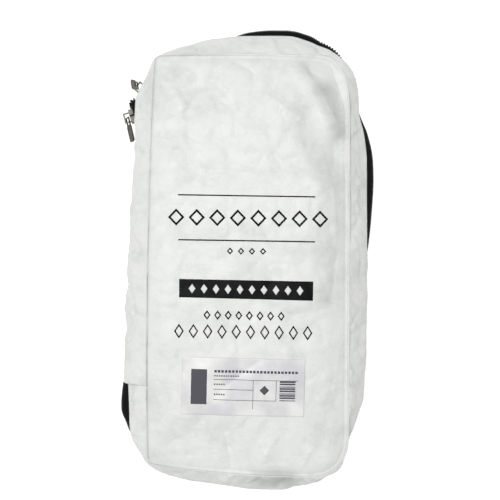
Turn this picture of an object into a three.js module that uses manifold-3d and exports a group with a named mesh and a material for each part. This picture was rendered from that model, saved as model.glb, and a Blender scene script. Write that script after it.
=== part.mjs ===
// A soft white pouch that opens like a book: two faces, a gusset round each, a zip on three sides and a
// plain spine on the fourth. It lies on its back. Millimetres, +Z up, +Y towards the pouch's top end.
import * as THREE from "three";
import { mergeVertices } from "three/addons/utils/BufferGeometryUtils.js";
import Module from "manifold-3d";

// Driving sizes
const FACE_WIDTH = 165; // between the long seams of the front face
const FACE_HEIGHT = 346; // between the short seams
const SEAM_HEIGHT = 55; // the front seam above the floor
const GUSSET_WIDTH = 26; // cloth from a face's seam to the zip
const LARGEST_DROP = 22; // how far a gusset falls where it has no flare
const BACK_FLARE = 0.86; // flare of the back gusset, as a share of the front's
const FACE_CROWN = 5; // how far the front face stands above its seam
const CLOTH = 1.2; // thickness of the cloth and the tapes
const CLEARANCE = 0.3; // gap between neighbouring pieces
const BACK_SEAM_HEIGHT = CLOTH + CLEARANCE; // the back seam, where the back gusset meets the back face
const TAPE_SHOWN = 7; // tape between a gusset's edge and the flat stretch under the coil
const TAPE_FLAT = 6; // half of that flat stretch
const TAPE_FALL = 0.62; // how steeply the tape falls from a gusset's edge to its flat stretch
const SWELL = 0.06; // how far a gusset swells out, as a share of its width
const BACK_EDGE_BULGE = 0.2; // how much of the zip's bulge the back gusset's edge follows
const BACK_GUSSET_OUT = 0.62; // where the back gusset bends, as a share of its flare
const BACK_GUSSET_UP = 0.42; // and as a share of the way up to its edge
const EDGE_GAP = 0.3; // how far a strip of cloth stops short of the fold where the next strip starts
const CROWN_POWER = 0.6; // under 1, the crown rises steeply at the seam
const COIL_WIDTH = 5.5;
const COIL_THICKNESS = 2.2;
const LABEL_WIDTH = 101.6;
const LABEL_HEIGHT = 47.6;
const LABEL_THICKNESS = 0.5;
const SLIDER_LENGTH = 11.4;
const SLIDER_ROOM = 0.6; // straight zip past each end of a slider
const FLANGE = 1; // thickness of the slider's side walls
const PLATE = 1.3; // thickness of the slider's plates
const POST_WIDTH = 2.2;
const POST_LENGTH = 2.5;
const POST_INSET = 0.3; // from the post to the slider's head end
const PARTING = 1.5; // length over which the coil's halves part
const ARCH_WINDOW_LENGTH = 6.5;
const ARCH_WINDOW_HEIGHT = 4.5;
const ARCH_WIRE = 1.2;
const ARCH_WIDTH = 1.4;
const PULL_LENGTH = 21.5;
const PULL_WIDTH = 8.6;
const PULL_THICKNESS = 1.1;
const EYE_LENGTH = 5.6;
const EYE_WIDTH = 4.8;
const EYE_RIM = 1;
const CROSSBAR = 0.9;
const TIP_ROUND = 0.6; // the rounding of a pull's tip, as a share of half its width
const LOWER_PULL_ROLL = 30; // degrees that the lower pull leans back in its arch, so its face looks up
const LOWER_PULL_LEAN = 3; // degrees that it leans away from the cloth
const UPPER_PULL_YAW = 42; // degrees that the upper pull is turned on its arch, as it hangs
const UPPER_PULL_LEAN = 26; // degrees that it hangs out from straight down

// Corners of the front seam, anticlockwise from the top left, as shares of half the face's width and
// height. The runs are how much of each side the round corner takes, as shares of the face's width.
const CORNERS = [
  { name: "top left", x: -0.93, y: 1.0, runIn: 0.03, runOut: 0.03 },
  { name: "bottom left", x: -1.0, y: -0.948, runIn: 0.03, runOut: 0.03 },
  { name: "bottom right", x: 0.994, y: -1.009, runIn: 0.19, runOut: 0.2 },
  { name: "top right", x: 1.006, y: 0.988, runIn: 0.25, runOut: 0.14 },
];

// Each side runs from its own corner to the next one. bow is how far its middle stands out, as a share of
// the face's width.
const SIDES = [
  { name: "left", bow: 0.02, steps: 17 },
  { name: "bottom", bow: 0.027, steps: 10 },
  { name: "right", bow: 0.004, steps: 15 },
  { name: "top", bow: 0.013, steps: 10 },
];
const SHARP_STEPS = 3;
const ROUND_STEPS = 5;
const SHARP_RUN = 0.05;
const BOW_POWER = 0.7; // under 1, a bow is flatter in its middle and rounder near the corners

// The lap counts sides from the top left corner: 0 to 1 is the left side, 1 to 2 the bottom, and so on.
// Flare is how far a gusset's edge stands outside the seam, as a share of the gusset's width.
const SPINE_TOP = 0.153;
const SPINE_BOTTOM = 0.811;
const FLARES = [
  { lap: 0.0, flare: 0.15 },
  { lap: 0.03, flare: 0.29 },
  { lap: 0.077, flare: 0.56 },
  { lap: 0.1, flare: 0.655 },
  { lap: 0.153, flare: 0.66 },
  { lap: 0.28, flare: 0.66 },
  { lap: 0.42, flare: 0.71 },
  { lap: 0.6, flare: 0.71 },
  { lap: 0.66, flare: 0.73 },
  { lap: 0.73, flare: 0.79 },
  { lap: 0.8105, flare: 0.8 },
  { lap: 0.8115, flare: 0.7 },
  { lap: 0.87, flare: 0.68 },
  { lap: 0.926, flare: 0.66 },
  { lap: 0.95, flare: 0.61 },
  { lap: 0.985, flare: 0.35 },
  { lap: 1.0, flare: 0.25 },
  { lap: 1.04, flare: 0.36 },
  { lap: 1.22, flare: 0.56 },
  { lap: 1.4, flare: 0.61 },
  { lap: 1.57, flare: 0.655 },
  { lap: 1.7, flare: 0.58 },
  { lap: 1.8, flare: 0.37 },
  { lap: 1.9, flare: 0.2 },
  { lap: 2.06, flare: 0.13 },
  { lap: 2.12, flare: 0.32 },
  { lap: 2.18, flare: 0.55 },
  { lap: 2.25, flare: 0.63 },
  { lap: 2.42, flare: 0.68 },
  { lap: 2.76, flare: 0.675 },
  { lap: 2.83, flare: 0.585 },
  { lap: 2.885, flare: 0.43 },
  { lap: 2.95, flare: 0.45 },
  { lap: 3.05, flare: 0.42 },
  { lap: 3.12, flare: 0.5 },
  { lap: 3.2, flare: 0.66 },
  { lap: 3.31, flare: 0.78 },
  { lap: 3.56, flare: 0.755 },
  { lap: 3.69, flare: 0.67 },
  { lap: 3.84, flare: 0.45 },
  { lap: 3.96, flare: 0.26 },
  { lap: 4.0, flare: 0.15 },
];

// Bulge is how far the zip stands outside the gusset's edge, as a share of the tape shown.
const BULGES = [
  { lap: 0.0, bulge: -0.5 },
  { lap: 0.06, bulge: -0.72 },
  { lap: 0.092, bulge: -0.2 },
  { lap: 0.116, bulge: 0.5 },
  { lap: 0.1525, bulge: 0.62 },
  { lap: 0.1535, bulge: -0.3 },
  { lap: 0.22, bulge: -0.1 },
  { lap: 0.3, bulge: 0.2 },
  { lap: 0.8105, bulge: 0.2 },
  { lap: 0.8115, bulge: 0.5 },
  { lap: 0.88, bulge: 0.85 },
  { lap: 0.92, bulge: 0.3 },
  { lap: 0.96, bulge: -0.15 },
  { lap: 1.1, bulge: -0.3 },
  { lap: 1.38, bulge: -0.12 },
  { lap: 1.6, bulge: -0.12 },
  { lap: 1.8, bulge: -0.4 },
  { lap: 2.1, bulge: -0.4 },
  { lap: 2.5, bulge: -0.25 },
  { lap: 2.56, bulge: 0.15 },
  { lap: 2.62, bulge: 0.45 },
  { lap: 2.72, bulge: 0.72 },
  { lap: 2.78, bulge: 0.62 },
  { lap: 2.86, bulge: 0.2 },
  { lap: 2.92, bulge: -0.35 },
  { lap: 3.03, bulge: -0.1 },
  { lap: 3.1, bulge: 0.45 },
  { lap: 3.2, bulge: 0.75 },
  { lap: 3.4, bulge: 0.72 },
  { lap: 3.52, bulge: 0.5 },
  { lap: 3.62, bulge: -0.1 },
  { lap: 3.8, bulge: -0.5 },
  { lap: 4.0, bulge: -0.5 },
];

// Sliders: the lap of the middle of each body, and which end of it the post stands at. The posts face each
// other, and between them the coil and tapes are parted.
const SLIDER_UPPER_LAP = 0.072;
const SLIDER_LOWER_LAP = 0.1345;

// The dents and folds of the front face. Places are shares of half the face's size, measured from its
// middle; reach is a share of the face's width and depth a share of the crown.
const FOLDS = [
  { name: "top right hollow", x: 0.62, y: 0.72, toX: 0.9, toY: 0.5, reach: 0.1, depth: -0.75 },
  { name: "top right facet", x: 0.84, y: 0.86, toX: 0.93, toY: 0.66, reach: 0.07, depth: 0.5 },
  { name: "top left rise", x: -0.7, y: 0.66, toX: -0.35, toY: 0.8, reach: 0.1, depth: -0.35 },
  { name: "bottom crease", x: -0.2, y: -0.78, toX: -0.12, toY: -0.99, reach: 0.05, depth: -0.4 },
  { name: "bottom fold", x: 0.2, y: -0.9, toX: 0.12, toY: -1.0, reach: 0.05, depth: 0.35 },
  { name: "bottom right fold", x: 0.62, y: -0.86, toX: 0.5, toY: -1.0, reach: 0.06, depth: -0.4 },
];

const WHITE = { color: 0xe9ebe8, roughness: 0.62, metalness: 0 };
const BLACK = { color: 0x0c0c0d, roughness: 0.8, metalness: 0 };
const METAL = { color: 0x8a8778, roughness: 0.35, metalness: 1 };
const PAPER = { color: 0xd6d7d9, roughness: 0.4, metalness: 0 };

const pouch = new THREE.Group();

function addMesh(name, geometry, finish) {
  const mesh = new THREE.Mesh(geometry, new THREE.MeshStandardMaterial(finish));
  mesh.name = name;
  pouch.add(mesh);
  return mesh;
}

// A value from a table at a lap, on a smooth curve through the rows. It never passes a row's own value
// where the table turns back.
function fromTable(rows, key, lap) {
  const last = rows.length - 1;
  let i = 0;
  while (i < last - 1 && rows[i + 1].lap < lap) i += 1;
  const width = (k) => rows[k + 1].lap - rows[k].lap;
  const slope = (k) => (rows[k + 1][key] - rows[k][key]) / width(k);
  const tangent = (k) => {
    if (k === 0 || k === last) return 0;
    const before = slope(k - 1);
    const after = slope(k);
    if (before * after <= 0) return 0;
    return (2 * before * after) / (before + after);
  };
  const w = width(i);
  const t = THREE.MathUtils.clamp((lap - rows[i].lap) / w, 0, 1);
  const t2 = t * t;
  const t3 = t2 * t;
  return (
    rows[i][key] * (2 * t3 - 3 * t2 + 1) +
    rows[i + 1][key] * (3 * t2 - 2 * t3) +
    tangent(i) * w * (t3 - 2 * t2 + t) +
    tangent(i + 1) * w * (t3 - t2)
  );
}

// The front seam, seen from above
const corner = (i) => {
  const c = CORNERS[i % CORNERS.length];
  return new THREE.Vector2((c.x * FACE_WIDTH) / 2, (c.y * FACE_HEIGHT) / 2);
};

function sidePoint(side, share) {
  const a = corner(side);
  const b = corner(side + 1);
  const along = b.clone().sub(a);
  const outward = new THREE.Vector2(along.y, -along.x).normalize();
  const bow = SIDES[side].bow * FACE_WIDTH * Math.pow(4 * share * (1 - share), BOW_POWER);
  return a.addScaledVector(along, share).addScaledVector(outward, bow);
}

function sideEnds(side) {
  const length = corner(side).distanceTo(corner(side + 1));
  const next = CORNERS[(side + 1) % CORNERS.length];
  return {
    start: (CORNERS[side].runOut * FACE_WIDTH) / length,
    end: 1 - (next.runIn * FACE_WIDTH) / length,
  };
}

function cornerPoint(i, t) {
  const before = (i + SIDES.length - 1) % SIDES.length;
  const a = sidePoint(before, sideEnds(before).end);
  const b = sidePoint(i, sideEnds(i).start);
  const c = corner(i);
  return a
    .multiplyScalar((1 - t) * (1 - t))
    .addScaledVector(c, 2 * t * (1 - t))
    .addScaledVector(b, t * t);
}

function seamPoint(lap) {
  const turn = (lap + SIDES.length) % SIDES.length;
  const side = Math.floor(turn);
  const share = turn - side;
  const { start, end } = sideEnds(side);
  if (share >= start && share <= end) return sidePoint(side, share);
  const i = share < start ? side : (side + 1) % SIDES.length;
  const before = (i + SIDES.length - 1) % SIDES.length;
  const from = sideEnds(before).end - 1;
  const to = sideEnds(i).start;
  const offset = share < start ? share : share - 1;
  return cornerPoint(i, (offset - from) / (to - from));
}

function seamNormal(lap) {
  const step = 0.004;
  const along = seamPoint(lap + step).sub(seamPoint(lap - step));
  return new THREE.Vector2(along.y, -along.x).normalize();
}

// One station's section, from the front seam down to the back seam: distance outside the seam, and height.
function sectionAt(lap) {
  const flare = fromTable(FLARES, "flare", lap) * GUSSET_WIDTH;
  const bulge = fromTable(BULGES, "bulge", lap) * TAPE_SHOWN;
  const drop = Math.min(Math.sqrt(GUSSET_WIDTH ** 2 - flare ** 2), LARGEST_DROP);
  const edge = SEAM_HEIGHT - CLOTH - CLEARANCE - drop;
  const tapeDrop = Math.sqrt(TAPE_SHOWN ** 2 - bulge ** 2) * TAPE_FALL;
  const flatTop = edge - tapeDrop;
  const middle = flatTop - TAPE_FLAT;
  const flatBottom = middle - TAPE_FLAT;
  const backEdge = Math.max(flatBottom - tapeDrop, BACK_SEAM_HEIGHT + 2 * CLOTH);
  const out = flare + bulge;
  const swell = SWELL * GUSSET_WIDTH;
  const bendHeight = BACK_SEAM_HEIGHT + (backEdge - BACK_SEAM_HEIGHT) * BACK_GUSSET_UP;
  return [
    { name: "seam", out: 0, z: SEAM_HEIGHT - CLOTH - CLEARANCE },
    { name: "gusset", out: flare / 2 + swell * (flare / GUSSET_WIDTH), z: (SEAM_HEIGHT + edge) / 2 + swell / 2 },
    { name: "edge", out: flare, z: edge },
    { name: "flatTop", out, z: flatTop },
    { name: "middle", out, z: middle },
    { name: "flatBottom", out, z: flatBottom },
    { name: "backEdge", out: flare * BACK_FLARE + bulge * BACK_EDGE_BULGE, z: backEdge },
    { name: "backGusset", out: flare * BACK_FLARE * BACK_GUSSET_OUT, z: bendHeight },
    { name: "backSeam", out: 0, z: BACK_SEAM_HEIGHT },
  ];
}
const LEVELS = sectionAt(0.5).map((row) => row.name);
const level = (name) => LEVELS.indexOf(name);

// The same section's inner side, a cloth's thickness in from each outer point.
function innerSection(section) {
  return section.map((row, k) => {
    const before = section[Math.max(k - 1, 0)];
    const after = section[Math.min(k + 1, section.length - 1)];
    const along = new THREE.Vector2(after.out - before.out, after.z - before.z).normalize();
    return { out: row.out + along.y * CLOTH, z: row.z - along.x * CLOTH };
  });
}

function stationAt(lap) {
  const outer = sectionAt(lap);
  return { lap, at: seamPoint(lap), normal: seamNormal(lap), outer, inner: innerSection(outer) };
}

// A band that follows the flat stretch under the coil. Its section is given by the distances from the
// middle of the zip, along the tape, and outside the tape.
function zipPoint(station, up, outside) {
  const base = station.outer[level("middle")];
  const out = base.out + outside;
  return new THREE.Vector3(
    station.at.x + station.normal.x * out,
    station.at.y + station.normal.y * out,
    base.z + up,
  );
}

// The stations of the loop: even steps on the sides, closer steps round the corners, pairs of stations at
// the spine's two ends, and four stations at each slider. A slider's head is the end with the post.
const leftLength = corner(0).distanceTo(corner(1));
const postStart = SLIDER_LENGTH / 2 - POST_INSET - POST_LENGTH;
const halfSliderLap = (SLIDER_LENGTH / 2 + SLIDER_ROOM) / leftLength;
const joinLap = CLEARANCE / 2 / leftLength;
const LAP_ERROR = 1e-5;
const STATION_SPACING = 0.6; // of half a slider: no even station is closer than this to a fixed one
const SLIDERS = [
  { name: "upper", lap: SLIDER_UPPER_LAP, head: 1 },
  { name: "lower", lap: SLIDER_LOWER_LAP, head: -1 },
];
for (const slider of SLIDERS) {
  const a = stationAt(slider.lap - halfSliderLap);
  const b = stationAt(slider.lap + halfSliderLap);
  const lapPerLength = (2 * halfSliderLap) / zipPoint(a, 0, 0).distanceTo(zipPoint(b, 0, 0));
  const parted = postStart - CLEARANCE - SLIDER_ROOM;
  slider.partedLap = slider.lap + slider.head * parted * lapPerLength;
  slider.closedLap = slider.lap + slider.head * (parted - PARTING) * lapPerLength;
}
const FIXED_LAPS = [SPINE_TOP - joinLap, SPINE_TOP + joinLap, SPINE_BOTTOM - joinLap, SPINE_BOTTOM + joinLap];
for (const { lap, partedLap, closedLap } of SLIDERS)
  FIXED_LAPS.push(lap - halfSliderLap, lap + halfSliderLap, partedLap, closedLap);
const PARTED_FROM = SLIDERS[0].partedLap;
const PARTED_TO = SLIDERS[1].partedLap;
const sliderAt = (lap) => SLIDERS.find((slider) => Math.abs(lap - slider.lap) <= halfSliderLap + LAP_ERROR);

function allLaps() {
  const laps = [...FIXED_LAPS];
  SIDES.forEach(({ steps }, side) => {
    const { start, end } = sideEnds(side);
    for (let k = 0; k <= steps; k += 1) laps.push(side + start + ((end - start) * k) / steps);
    const before = (side + SIDES.length - 1) % SIDES.length;
    const from = side + sideEnds(before).end - 1;
    const sharp = CORNERS[side].runOut < SHARP_RUN;
    const cornerSteps = sharp ? SHARP_STEPS : ROUND_STEPS;
    for (let k = 1; k < cornerSteps; k += 1) {
      const lap = from + ((side + start - from) * k) / cornerSteps;
      laps.push((lap + SIDES.length) % SIDES.length);
    }
  });
  const nearest = STATION_SPACING * halfSliderLap;
  const near = (lap) => FIXED_LAPS.some((fixed) => Math.abs(lap - fixed) < nearest);
  return laps.filter((lap) => FIXED_LAPS.includes(lap) || !(near(lap) || sliderAt(lap))).sort((a, b) => a - b);
}

// Inside a slider everything runs straight from one end to the other.
function straightStation(lap, middle) {
  const a = stationAt(middle - halfSliderLap);
  const b = stationAt(middle + halfSliderLap);
  const t = (lap - a.lap) / (b.lap - a.lap);
  const mixRows = (rows, others) =>
    rows.map((row, k) => ({
      out: THREE.MathUtils.lerp(row.out, others[k].out, t),
      z: THREE.MathUtils.lerp(row.z, others[k].z, t),
    }));
  return {
    lap,
    at: a.at.clone().lerp(b.at, t),
    normal: a.normal.clone().lerp(b.normal, t),
    outer: mixRows(a.outer, b.outer),
    inner: mixRows(a.inner, b.inner),
  };
}

const stations = allLaps().map((lap) => {
  const slider = sliderAt(lap);
  return slider ? straightStation(lap, slider.lap) : stationAt(lap);
});

// A point of a station, at a fractional level, on its outer or inner side.
function stationPoint(station, side, place) {
  const k = Math.min(Math.floor(place), LEVELS.length - 2);
  const t = place - k;
  const a = station[side][k];
  const b = station[side][k + 1];
  const out = a.out + (b.out - a.out) * t;
  return new THREE.Vector3(
    station.at.x + station.normal.x * out,
    station.at.y + station.normal.y * out,
    a.z + (b.z - a.z) * t,
  );
}

// A closed solid from equal rings of points, one ring after another, with flat or fanned ends.
function loft(rings, closed) {
  const count = rings[0].length;
  const points = rings.flat();
  const faces = [];
  const last = closed ? rings.length : rings.length - 1;
  for (let i = 0; i < last; i += 1) {
    const a = i * count;
    const b = ((i + 1) % rings.length) * count;
    for (let j = 0; j < count; j += 1) {
      const k = (j + 1) % count;
      faces.push(a + j, a + k, b + k, a + j, b + k, b + j);
    }
  }
  if (!closed) {
    const end = (rings.length - 1) * count;
    const half = count / 2;
    for (let j = 0; j < half - 1; j += 1) {
      const far = count - 1 - j;
      faces.push(j, far, far - 1, j, far - 1, j + 1);
      faces.push(end + j, end + far - 1, end + far, end + j, end + j + 1, end + far - 1);
    }
  }
  const geometry = new THREE.BufferGeometry();
  geometry.setAttribute("position", new THREE.Float32BufferAttribute(points.flatMap((p) => p.toArray()), 3));
  geometry.setIndex(faces);
  geometry.computeVertexNormals();
  return geometry;
}

// A strip of cloth between two levels of the section, over the stations that keep says, short of each
// neighbour by half the clearance.
function strip(fromLevel, toLevel, keep, stationsOf = stations) {
  const chosen = stationsOf.filter(keep);
  const rings = chosen.map((station) => {
    const lengthOf = (k) => {
      const a = station.outer[k];
      const b = station.outer[k + 1];
      return Math.hypot(b.out - a.out, b.z - a.z);
    };
    const start = fromLevel + (fromLevel > 0 ? EDGE_GAP / lengthOf(fromLevel) : 0);
    const end = toLevel - (toLevel < LEVELS.length - 1 ? EDGE_GAP / lengthOf(toLevel - 1) : 0);
    const places = [start];
    for (let k = fromLevel + 1; k < toLevel; k += 1) places.push(k);
    places.push(end);
    const outer = places.map((place) => stationPoint(station, "outer", place));
    const inner = places.map((place) => stationPoint(station, "inner", place)).reverse();
    return [...outer, ...inner];
  });
  return loft(rings, false);
}

const onSpine = (s) => s.lap > SPINE_TOP && s.lap < SPINE_BOTTOM;

// The zip's stations run from the spine's lower end, round the pouch, to the spine's upper end.
const zipStations = [
  ...stations.filter((s) => s.lap > SPINE_BOTTOM),
  ...stations.filter((s) => s.lap < SPINE_TOP),
];
const always = () => true;

addMesh("spine_panel", strip(level("seam"), level("backSeam"), onSpine), WHITE);
addMesh("front_gusset", strip(level("seam"), level("edge"), always, zipStations), WHITE);
addMesh("back_gusset", strip(level("backEdge"), level("backSeam"), always, zipStations), WHITE);

// How far each half of the zip is parted from its middle: enough to pass a post between the sliders.
const PARTED = POST_WIDTH / 2 + CLEARANCE;
function partedAt(lap) {
  return lap >= PARTED_FROM && lap <= PARTED_TO ? PARTED : CLEARANCE / 2;
}

function tape(name, sign, edgeLevel) {
  const rings = zipStations.map((station) => {
    const parted = partedAt(station.lap) * sign;
    const flat = TAPE_FLAT * sign;
    const near = sign > 0 ? edgeLevel + 1 : edgeLevel - 1;
    const shownLength = Math.hypot(
      station.outer[edgeLevel].out - station.outer[near].out,
      station.outer[edgeLevel].z - station.outer[near].z,
    );
    const place = edgeLevel + (sign * EDGE_GAP) / shownLength;
    const ring = [
      zipPoint(station, parted, 0),
      zipPoint(station, flat, 0),
      stationPoint(station, "outer", place),
      stationPoint(station, "inner", place),
      zipPoint(station, flat, -CLOTH),
      zipPoint(station, parted, -CLOTH),
    ];
    return sign > 0 ? ring.reverse() : ring;
  });
  addMesh(name, loft(rings, false), BLACK);
}
tape("zip_tape_front", 1, level("edge"));
tape("zip_tape_back", -1, level("backEdge"));

function coil(name, sign) {
  const rings = zipStations.map((station) => {
    const near = partedAt(station.lap) * sign;
    const far = (partedAt(station.lap) + COIL_WIDTH / 2 - CLEARANCE / 2) * sign;
    const low = CLEARANCE;
    const high = CLEARANCE + COIL_THICKNESS;
    const ring = [
      zipPoint(station, near, high),
      zipPoint(station, far, high),
      zipPoint(station, far, low),
      zipPoint(station, near, low),
    ];
    return sign > 0 ? ring.reverse() : ring;
  });
  addMesh(name, loft(rings, false), BLACK);
}
coil("zip_coil_front", 1);
coil("zip_coil_back", -1);

// The faces are sheets of cloth over the seam's outline, in rings that shrink towards the middle.
const FACE_RINGS = [1, 0.93, 0.82, 0.64, 0.42, 0.2];
const MIDDLE_Y = -0.01; // share of half the face's height
const middlePoint = new THREE.Vector2(0, (MIDDLE_Y * FACE_HEIGHT) / 2);

function foldHeight(x, y) {
  let height = 0;
  for (const fold of FOLDS) {
    const a = new THREE.Vector2((fold.x * FACE_WIDTH) / 2, (fold.y * FACE_HEIGHT) / 2);
    const b = new THREE.Vector2((fold.toX * FACE_WIDTH) / 2, (fold.toY * FACE_HEIGHT) / 2);
    const along = b.clone().sub(a);
    const from = new THREE.Vector2(x, y).sub(a);
    const t = THREE.MathUtils.clamp(from.dot(along) / along.lengthSq(), 0, 1);
    const distance = from.addScaledVector(along, -t).length() / (fold.reach * FACE_WIDTH);
    height += fold.depth * FACE_CROWN * Math.exp(-distance * distance);
  }
  return height;
}

function crownHeight(x, y, share) {
  const rise = Math.pow(1 - share ** 4, CROWN_POWER);
  return Math.max(rise * (FACE_CROWN + foldHeight(x, y)), 0);
}

function face(name, baseHeight, heightAt) {
  const outline = stations.map((s) => s.at);
  const rings = FACE_RINGS.map((share) => outline.map((p) => p.clone().sub(middlePoint).multiplyScalar(share)));
  const top = [];
  const faces = [];
  rings.forEach((ring, r) =>
    ring.forEach((p) => {
      const q = p.clone().add(middlePoint);
      top.push(new THREE.Vector3(q.x, q.y, baseHeight + heightAt(q.x, q.y, FACE_RINGS[r])));
    }),
  );
  top.push(new THREE.Vector3(middlePoint.x, middlePoint.y, baseHeight + heightAt(middlePoint.x, middlePoint.y, 0)));
  const under = top.map((p) => p.clone().setZ(p.z - CLOTH));
  const n = outline.length;
  const all = top.length;
  for (let r = 0; r < rings.length - 1; r += 1) {
    for (let j = 0; j < n; j += 1) {
      const k = (j + 1) % n;
      const a = r * n;
      const b = (r + 1) * n;
      faces.push(a + j, a + k, b + k, a + j, b + k, b + j);
      faces.push(all + a + j, all + b + k, all + a + k, all + a + j, all + b + j, all + b + k);
    }
  }
  const inner = (rings.length - 1) * n;
  for (let j = 0; j < n; j += 1) {
    const k = (j + 1) % n;
    faces.push(inner + j, inner + k, all - 1);
    faces.push(all + inner + j, all + all - 1, all + inner + k);
    faces.push(j, all + j, all + k, j, all + k, k);
  }
  const geometry = new THREE.BufferGeometry();
  const points = [...top, ...under];
  geometry.setAttribute("position", new THREE.Float32BufferAttribute(points.flatMap((p) => p.toArray()), 3));
  geometry.setIndex(faces);
  geometry.computeVertexNormals();
  addMesh(name, geometry, WHITE);
}
face("front_panel", SEAM_HEIGHT, crownHeight);
face("back_panel", CLOTH, () => 0);

// The sticker follows the front face, just above it.
const LABEL_AT = new THREE.Vector2(-0.025 * FACE_WIDTH, -0.29 * FACE_HEIGHT);
const LABEL_TURN = THREE.MathUtils.degToRad(-1.4);
const LABEL_COLUMNS = 8;
const LABEL_ROWS = 4;

// How far a point of the face lies from its middle towards the seam, 0 to 1.
function shareAt(x, y) {
  const from = new THREE.Vector2(x, y).sub(middlePoint);
  let share = 0;
  stations.forEach((station, i) => {
    const a = station.at.clone().sub(middlePoint);
    const b = stations[(i + 1) % stations.length].at.clone().sub(middlePoint);
    const across = a.x * b.y - a.y * b.x;
    const s = (from.x * b.y - from.y * b.x) / across;
    const t = (a.x * from.y - a.y * from.x) / across;
    if (s >= 0 && t >= 0) share = s + t;
  });
  return share;
}

function labelRing(column, lift) {
  const ring = [];
  for (let row = 0; row <= LABEL_ROWS; row += 1) {
    const p = new THREE.Vector2(
      (column / LABEL_COLUMNS - 0.5) * LABEL_WIDTH,
      (row / LABEL_ROWS - 0.5) * LABEL_HEIGHT,
    );
    p.rotateAround(new THREE.Vector2(), LABEL_TURN).add(LABEL_AT);
    const z = SEAM_HEIGHT + crownHeight(p.x, p.y, shareAt(p.x, p.y)) + CLEARANCE + lift;
    ring.push(new THREE.Vector3(p.x, p.y, z));
  }
  return ring;
}

const labelRings = [];
for (let column = 0; column <= LABEL_COLUMNS; column += 1)
  labelRings.push([...labelRing(column, 0), ...labelRing(column, LABEL_THICKNESS).reverse()]);
addMesh("label", loft(labelRings, false), PAPER);

// Sliders. A slider's own axes are x towards its head, y across the tapes, and z out of the zip.
const tapeBack = -CLOTH - CLEARANCE;
const plateFloor = CLEARANCE + COIL_THICKNESS + CLEARANCE;
const plateTop = plateFloor + PLATE;
const tailInside = COIL_WIDTH / 2 + CLEARANCE;
const headInside = PARTED + COIL_WIDTH / 2 + CLEARANCE;
const shoulderEnd = postStart - 2 * CLEARANCE - 2 * SLIDER_ROOM;
const shoulderStart = shoulderEnd - PARTING;
const archOutside = ARCH_WINDOW_LENGTH / 2 + ARCH_WIRE;
const archTop = plateTop + ARCH_WINDOW_HEIGHT + ARCH_WIRE;
const CROSSBAR_DROP = 0.38; // the lower pull's crossbar below the arch's bar, as a share of the window

const wasm = await Module();
wasm.setup();

function toSolid(geometry) {
  const plain = geometry.clone();
  plain.deleteAttribute("normal");
  plain.deleteAttribute("uv");
  const merged = mergeVertices(plain, 1e-4);
  return new wasm.Manifold(
    new wasm.Mesh({
      numProp: 3,
      vertProperties: new Float32Array(merged.getAttribute("position").array),
      triVerts: new Uint32Array(merged.getIndex().array),
    }),
  );
}

function toGeometry(solid) {
  const { vertProperties, triVerts } = solid.getMesh();
  const geometry = new THREE.BufferGeometry();
  geometry.setAttribute("position", new THREE.Float32BufferAttribute(vertProperties, 3));
  geometry.setIndex([...triVerts]);
  geometry.computeVertexNormals();
  return geometry;
}

const joined = (geometries) => toGeometry(geometries.map(toSolid).reduce((a, b) => a.add(b)));

function block(from, to) {
  const size = to.map((value, i) => value - from[i]);
  const geometry = new THREE.BoxGeometry(...size);
  return geometry.translate(...from.map((value, i) => value + size[i] / 2));
}

function slab(points, low, high) {
  const shape = new THREE.Shape(points.map(([x, y]) => new THREE.Vector2(x, y)));
  return new THREE.ExtrudeGeometry(shape, { depth: high - low, bevelEnabled: false }).translate(0, 0, low);
}

function sliderGeometry() {
  const end = SLIDER_LENGTH / 2;
  const half = (grow) => [
    [-end, tailInside + grow],
    [shoulderStart, tailInside + grow],
    [shoulderEnd, headInside + grow],
    [end, headInside + grow],
  ];
  const mirrored = (points) => points.map(([x, y]) => [x, -y]).reverse();
  const plate = [...mirrored(half(FLANGE)).reverse(), ...half(FLANGE).reverse()];
  const flange = [...half(0), ...half(FLANGE).reverse()];
  const join = 0.1;
  const parts = [
    slab(plate, plateFloor, plateTop),
    slab(plate, tapeBack - PLATE, tapeBack),
    slab(flange, CLEARANCE, plateFloor + join),
    slab(mirrored(flange), CLEARANCE, plateFloor + join),
    block([postStart, -POST_WIDTH / 2, tapeBack - join], [postStart + POST_LENGTH, POST_WIDTH / 2, plateFloor + join]),
    block([-archOutside, -ARCH_WIDTH / 2, archTop - ARCH_WIRE], [archOutside, ARCH_WIDTH / 2, archTop]),
  ];
  for (const side of [-1, 1]) {
    const middle = side * (archOutside - ARCH_WIRE / 2);
    parts.push(
      block(
        [middle - ARCH_WIRE / 2, -ARCH_WIDTH / 2, plateTop - join],
        [middle + ARCH_WIRE / 2, ARCH_WIDTH / 2, archTop],
      ),
    );
  }
  return joined(parts);
}

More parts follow.
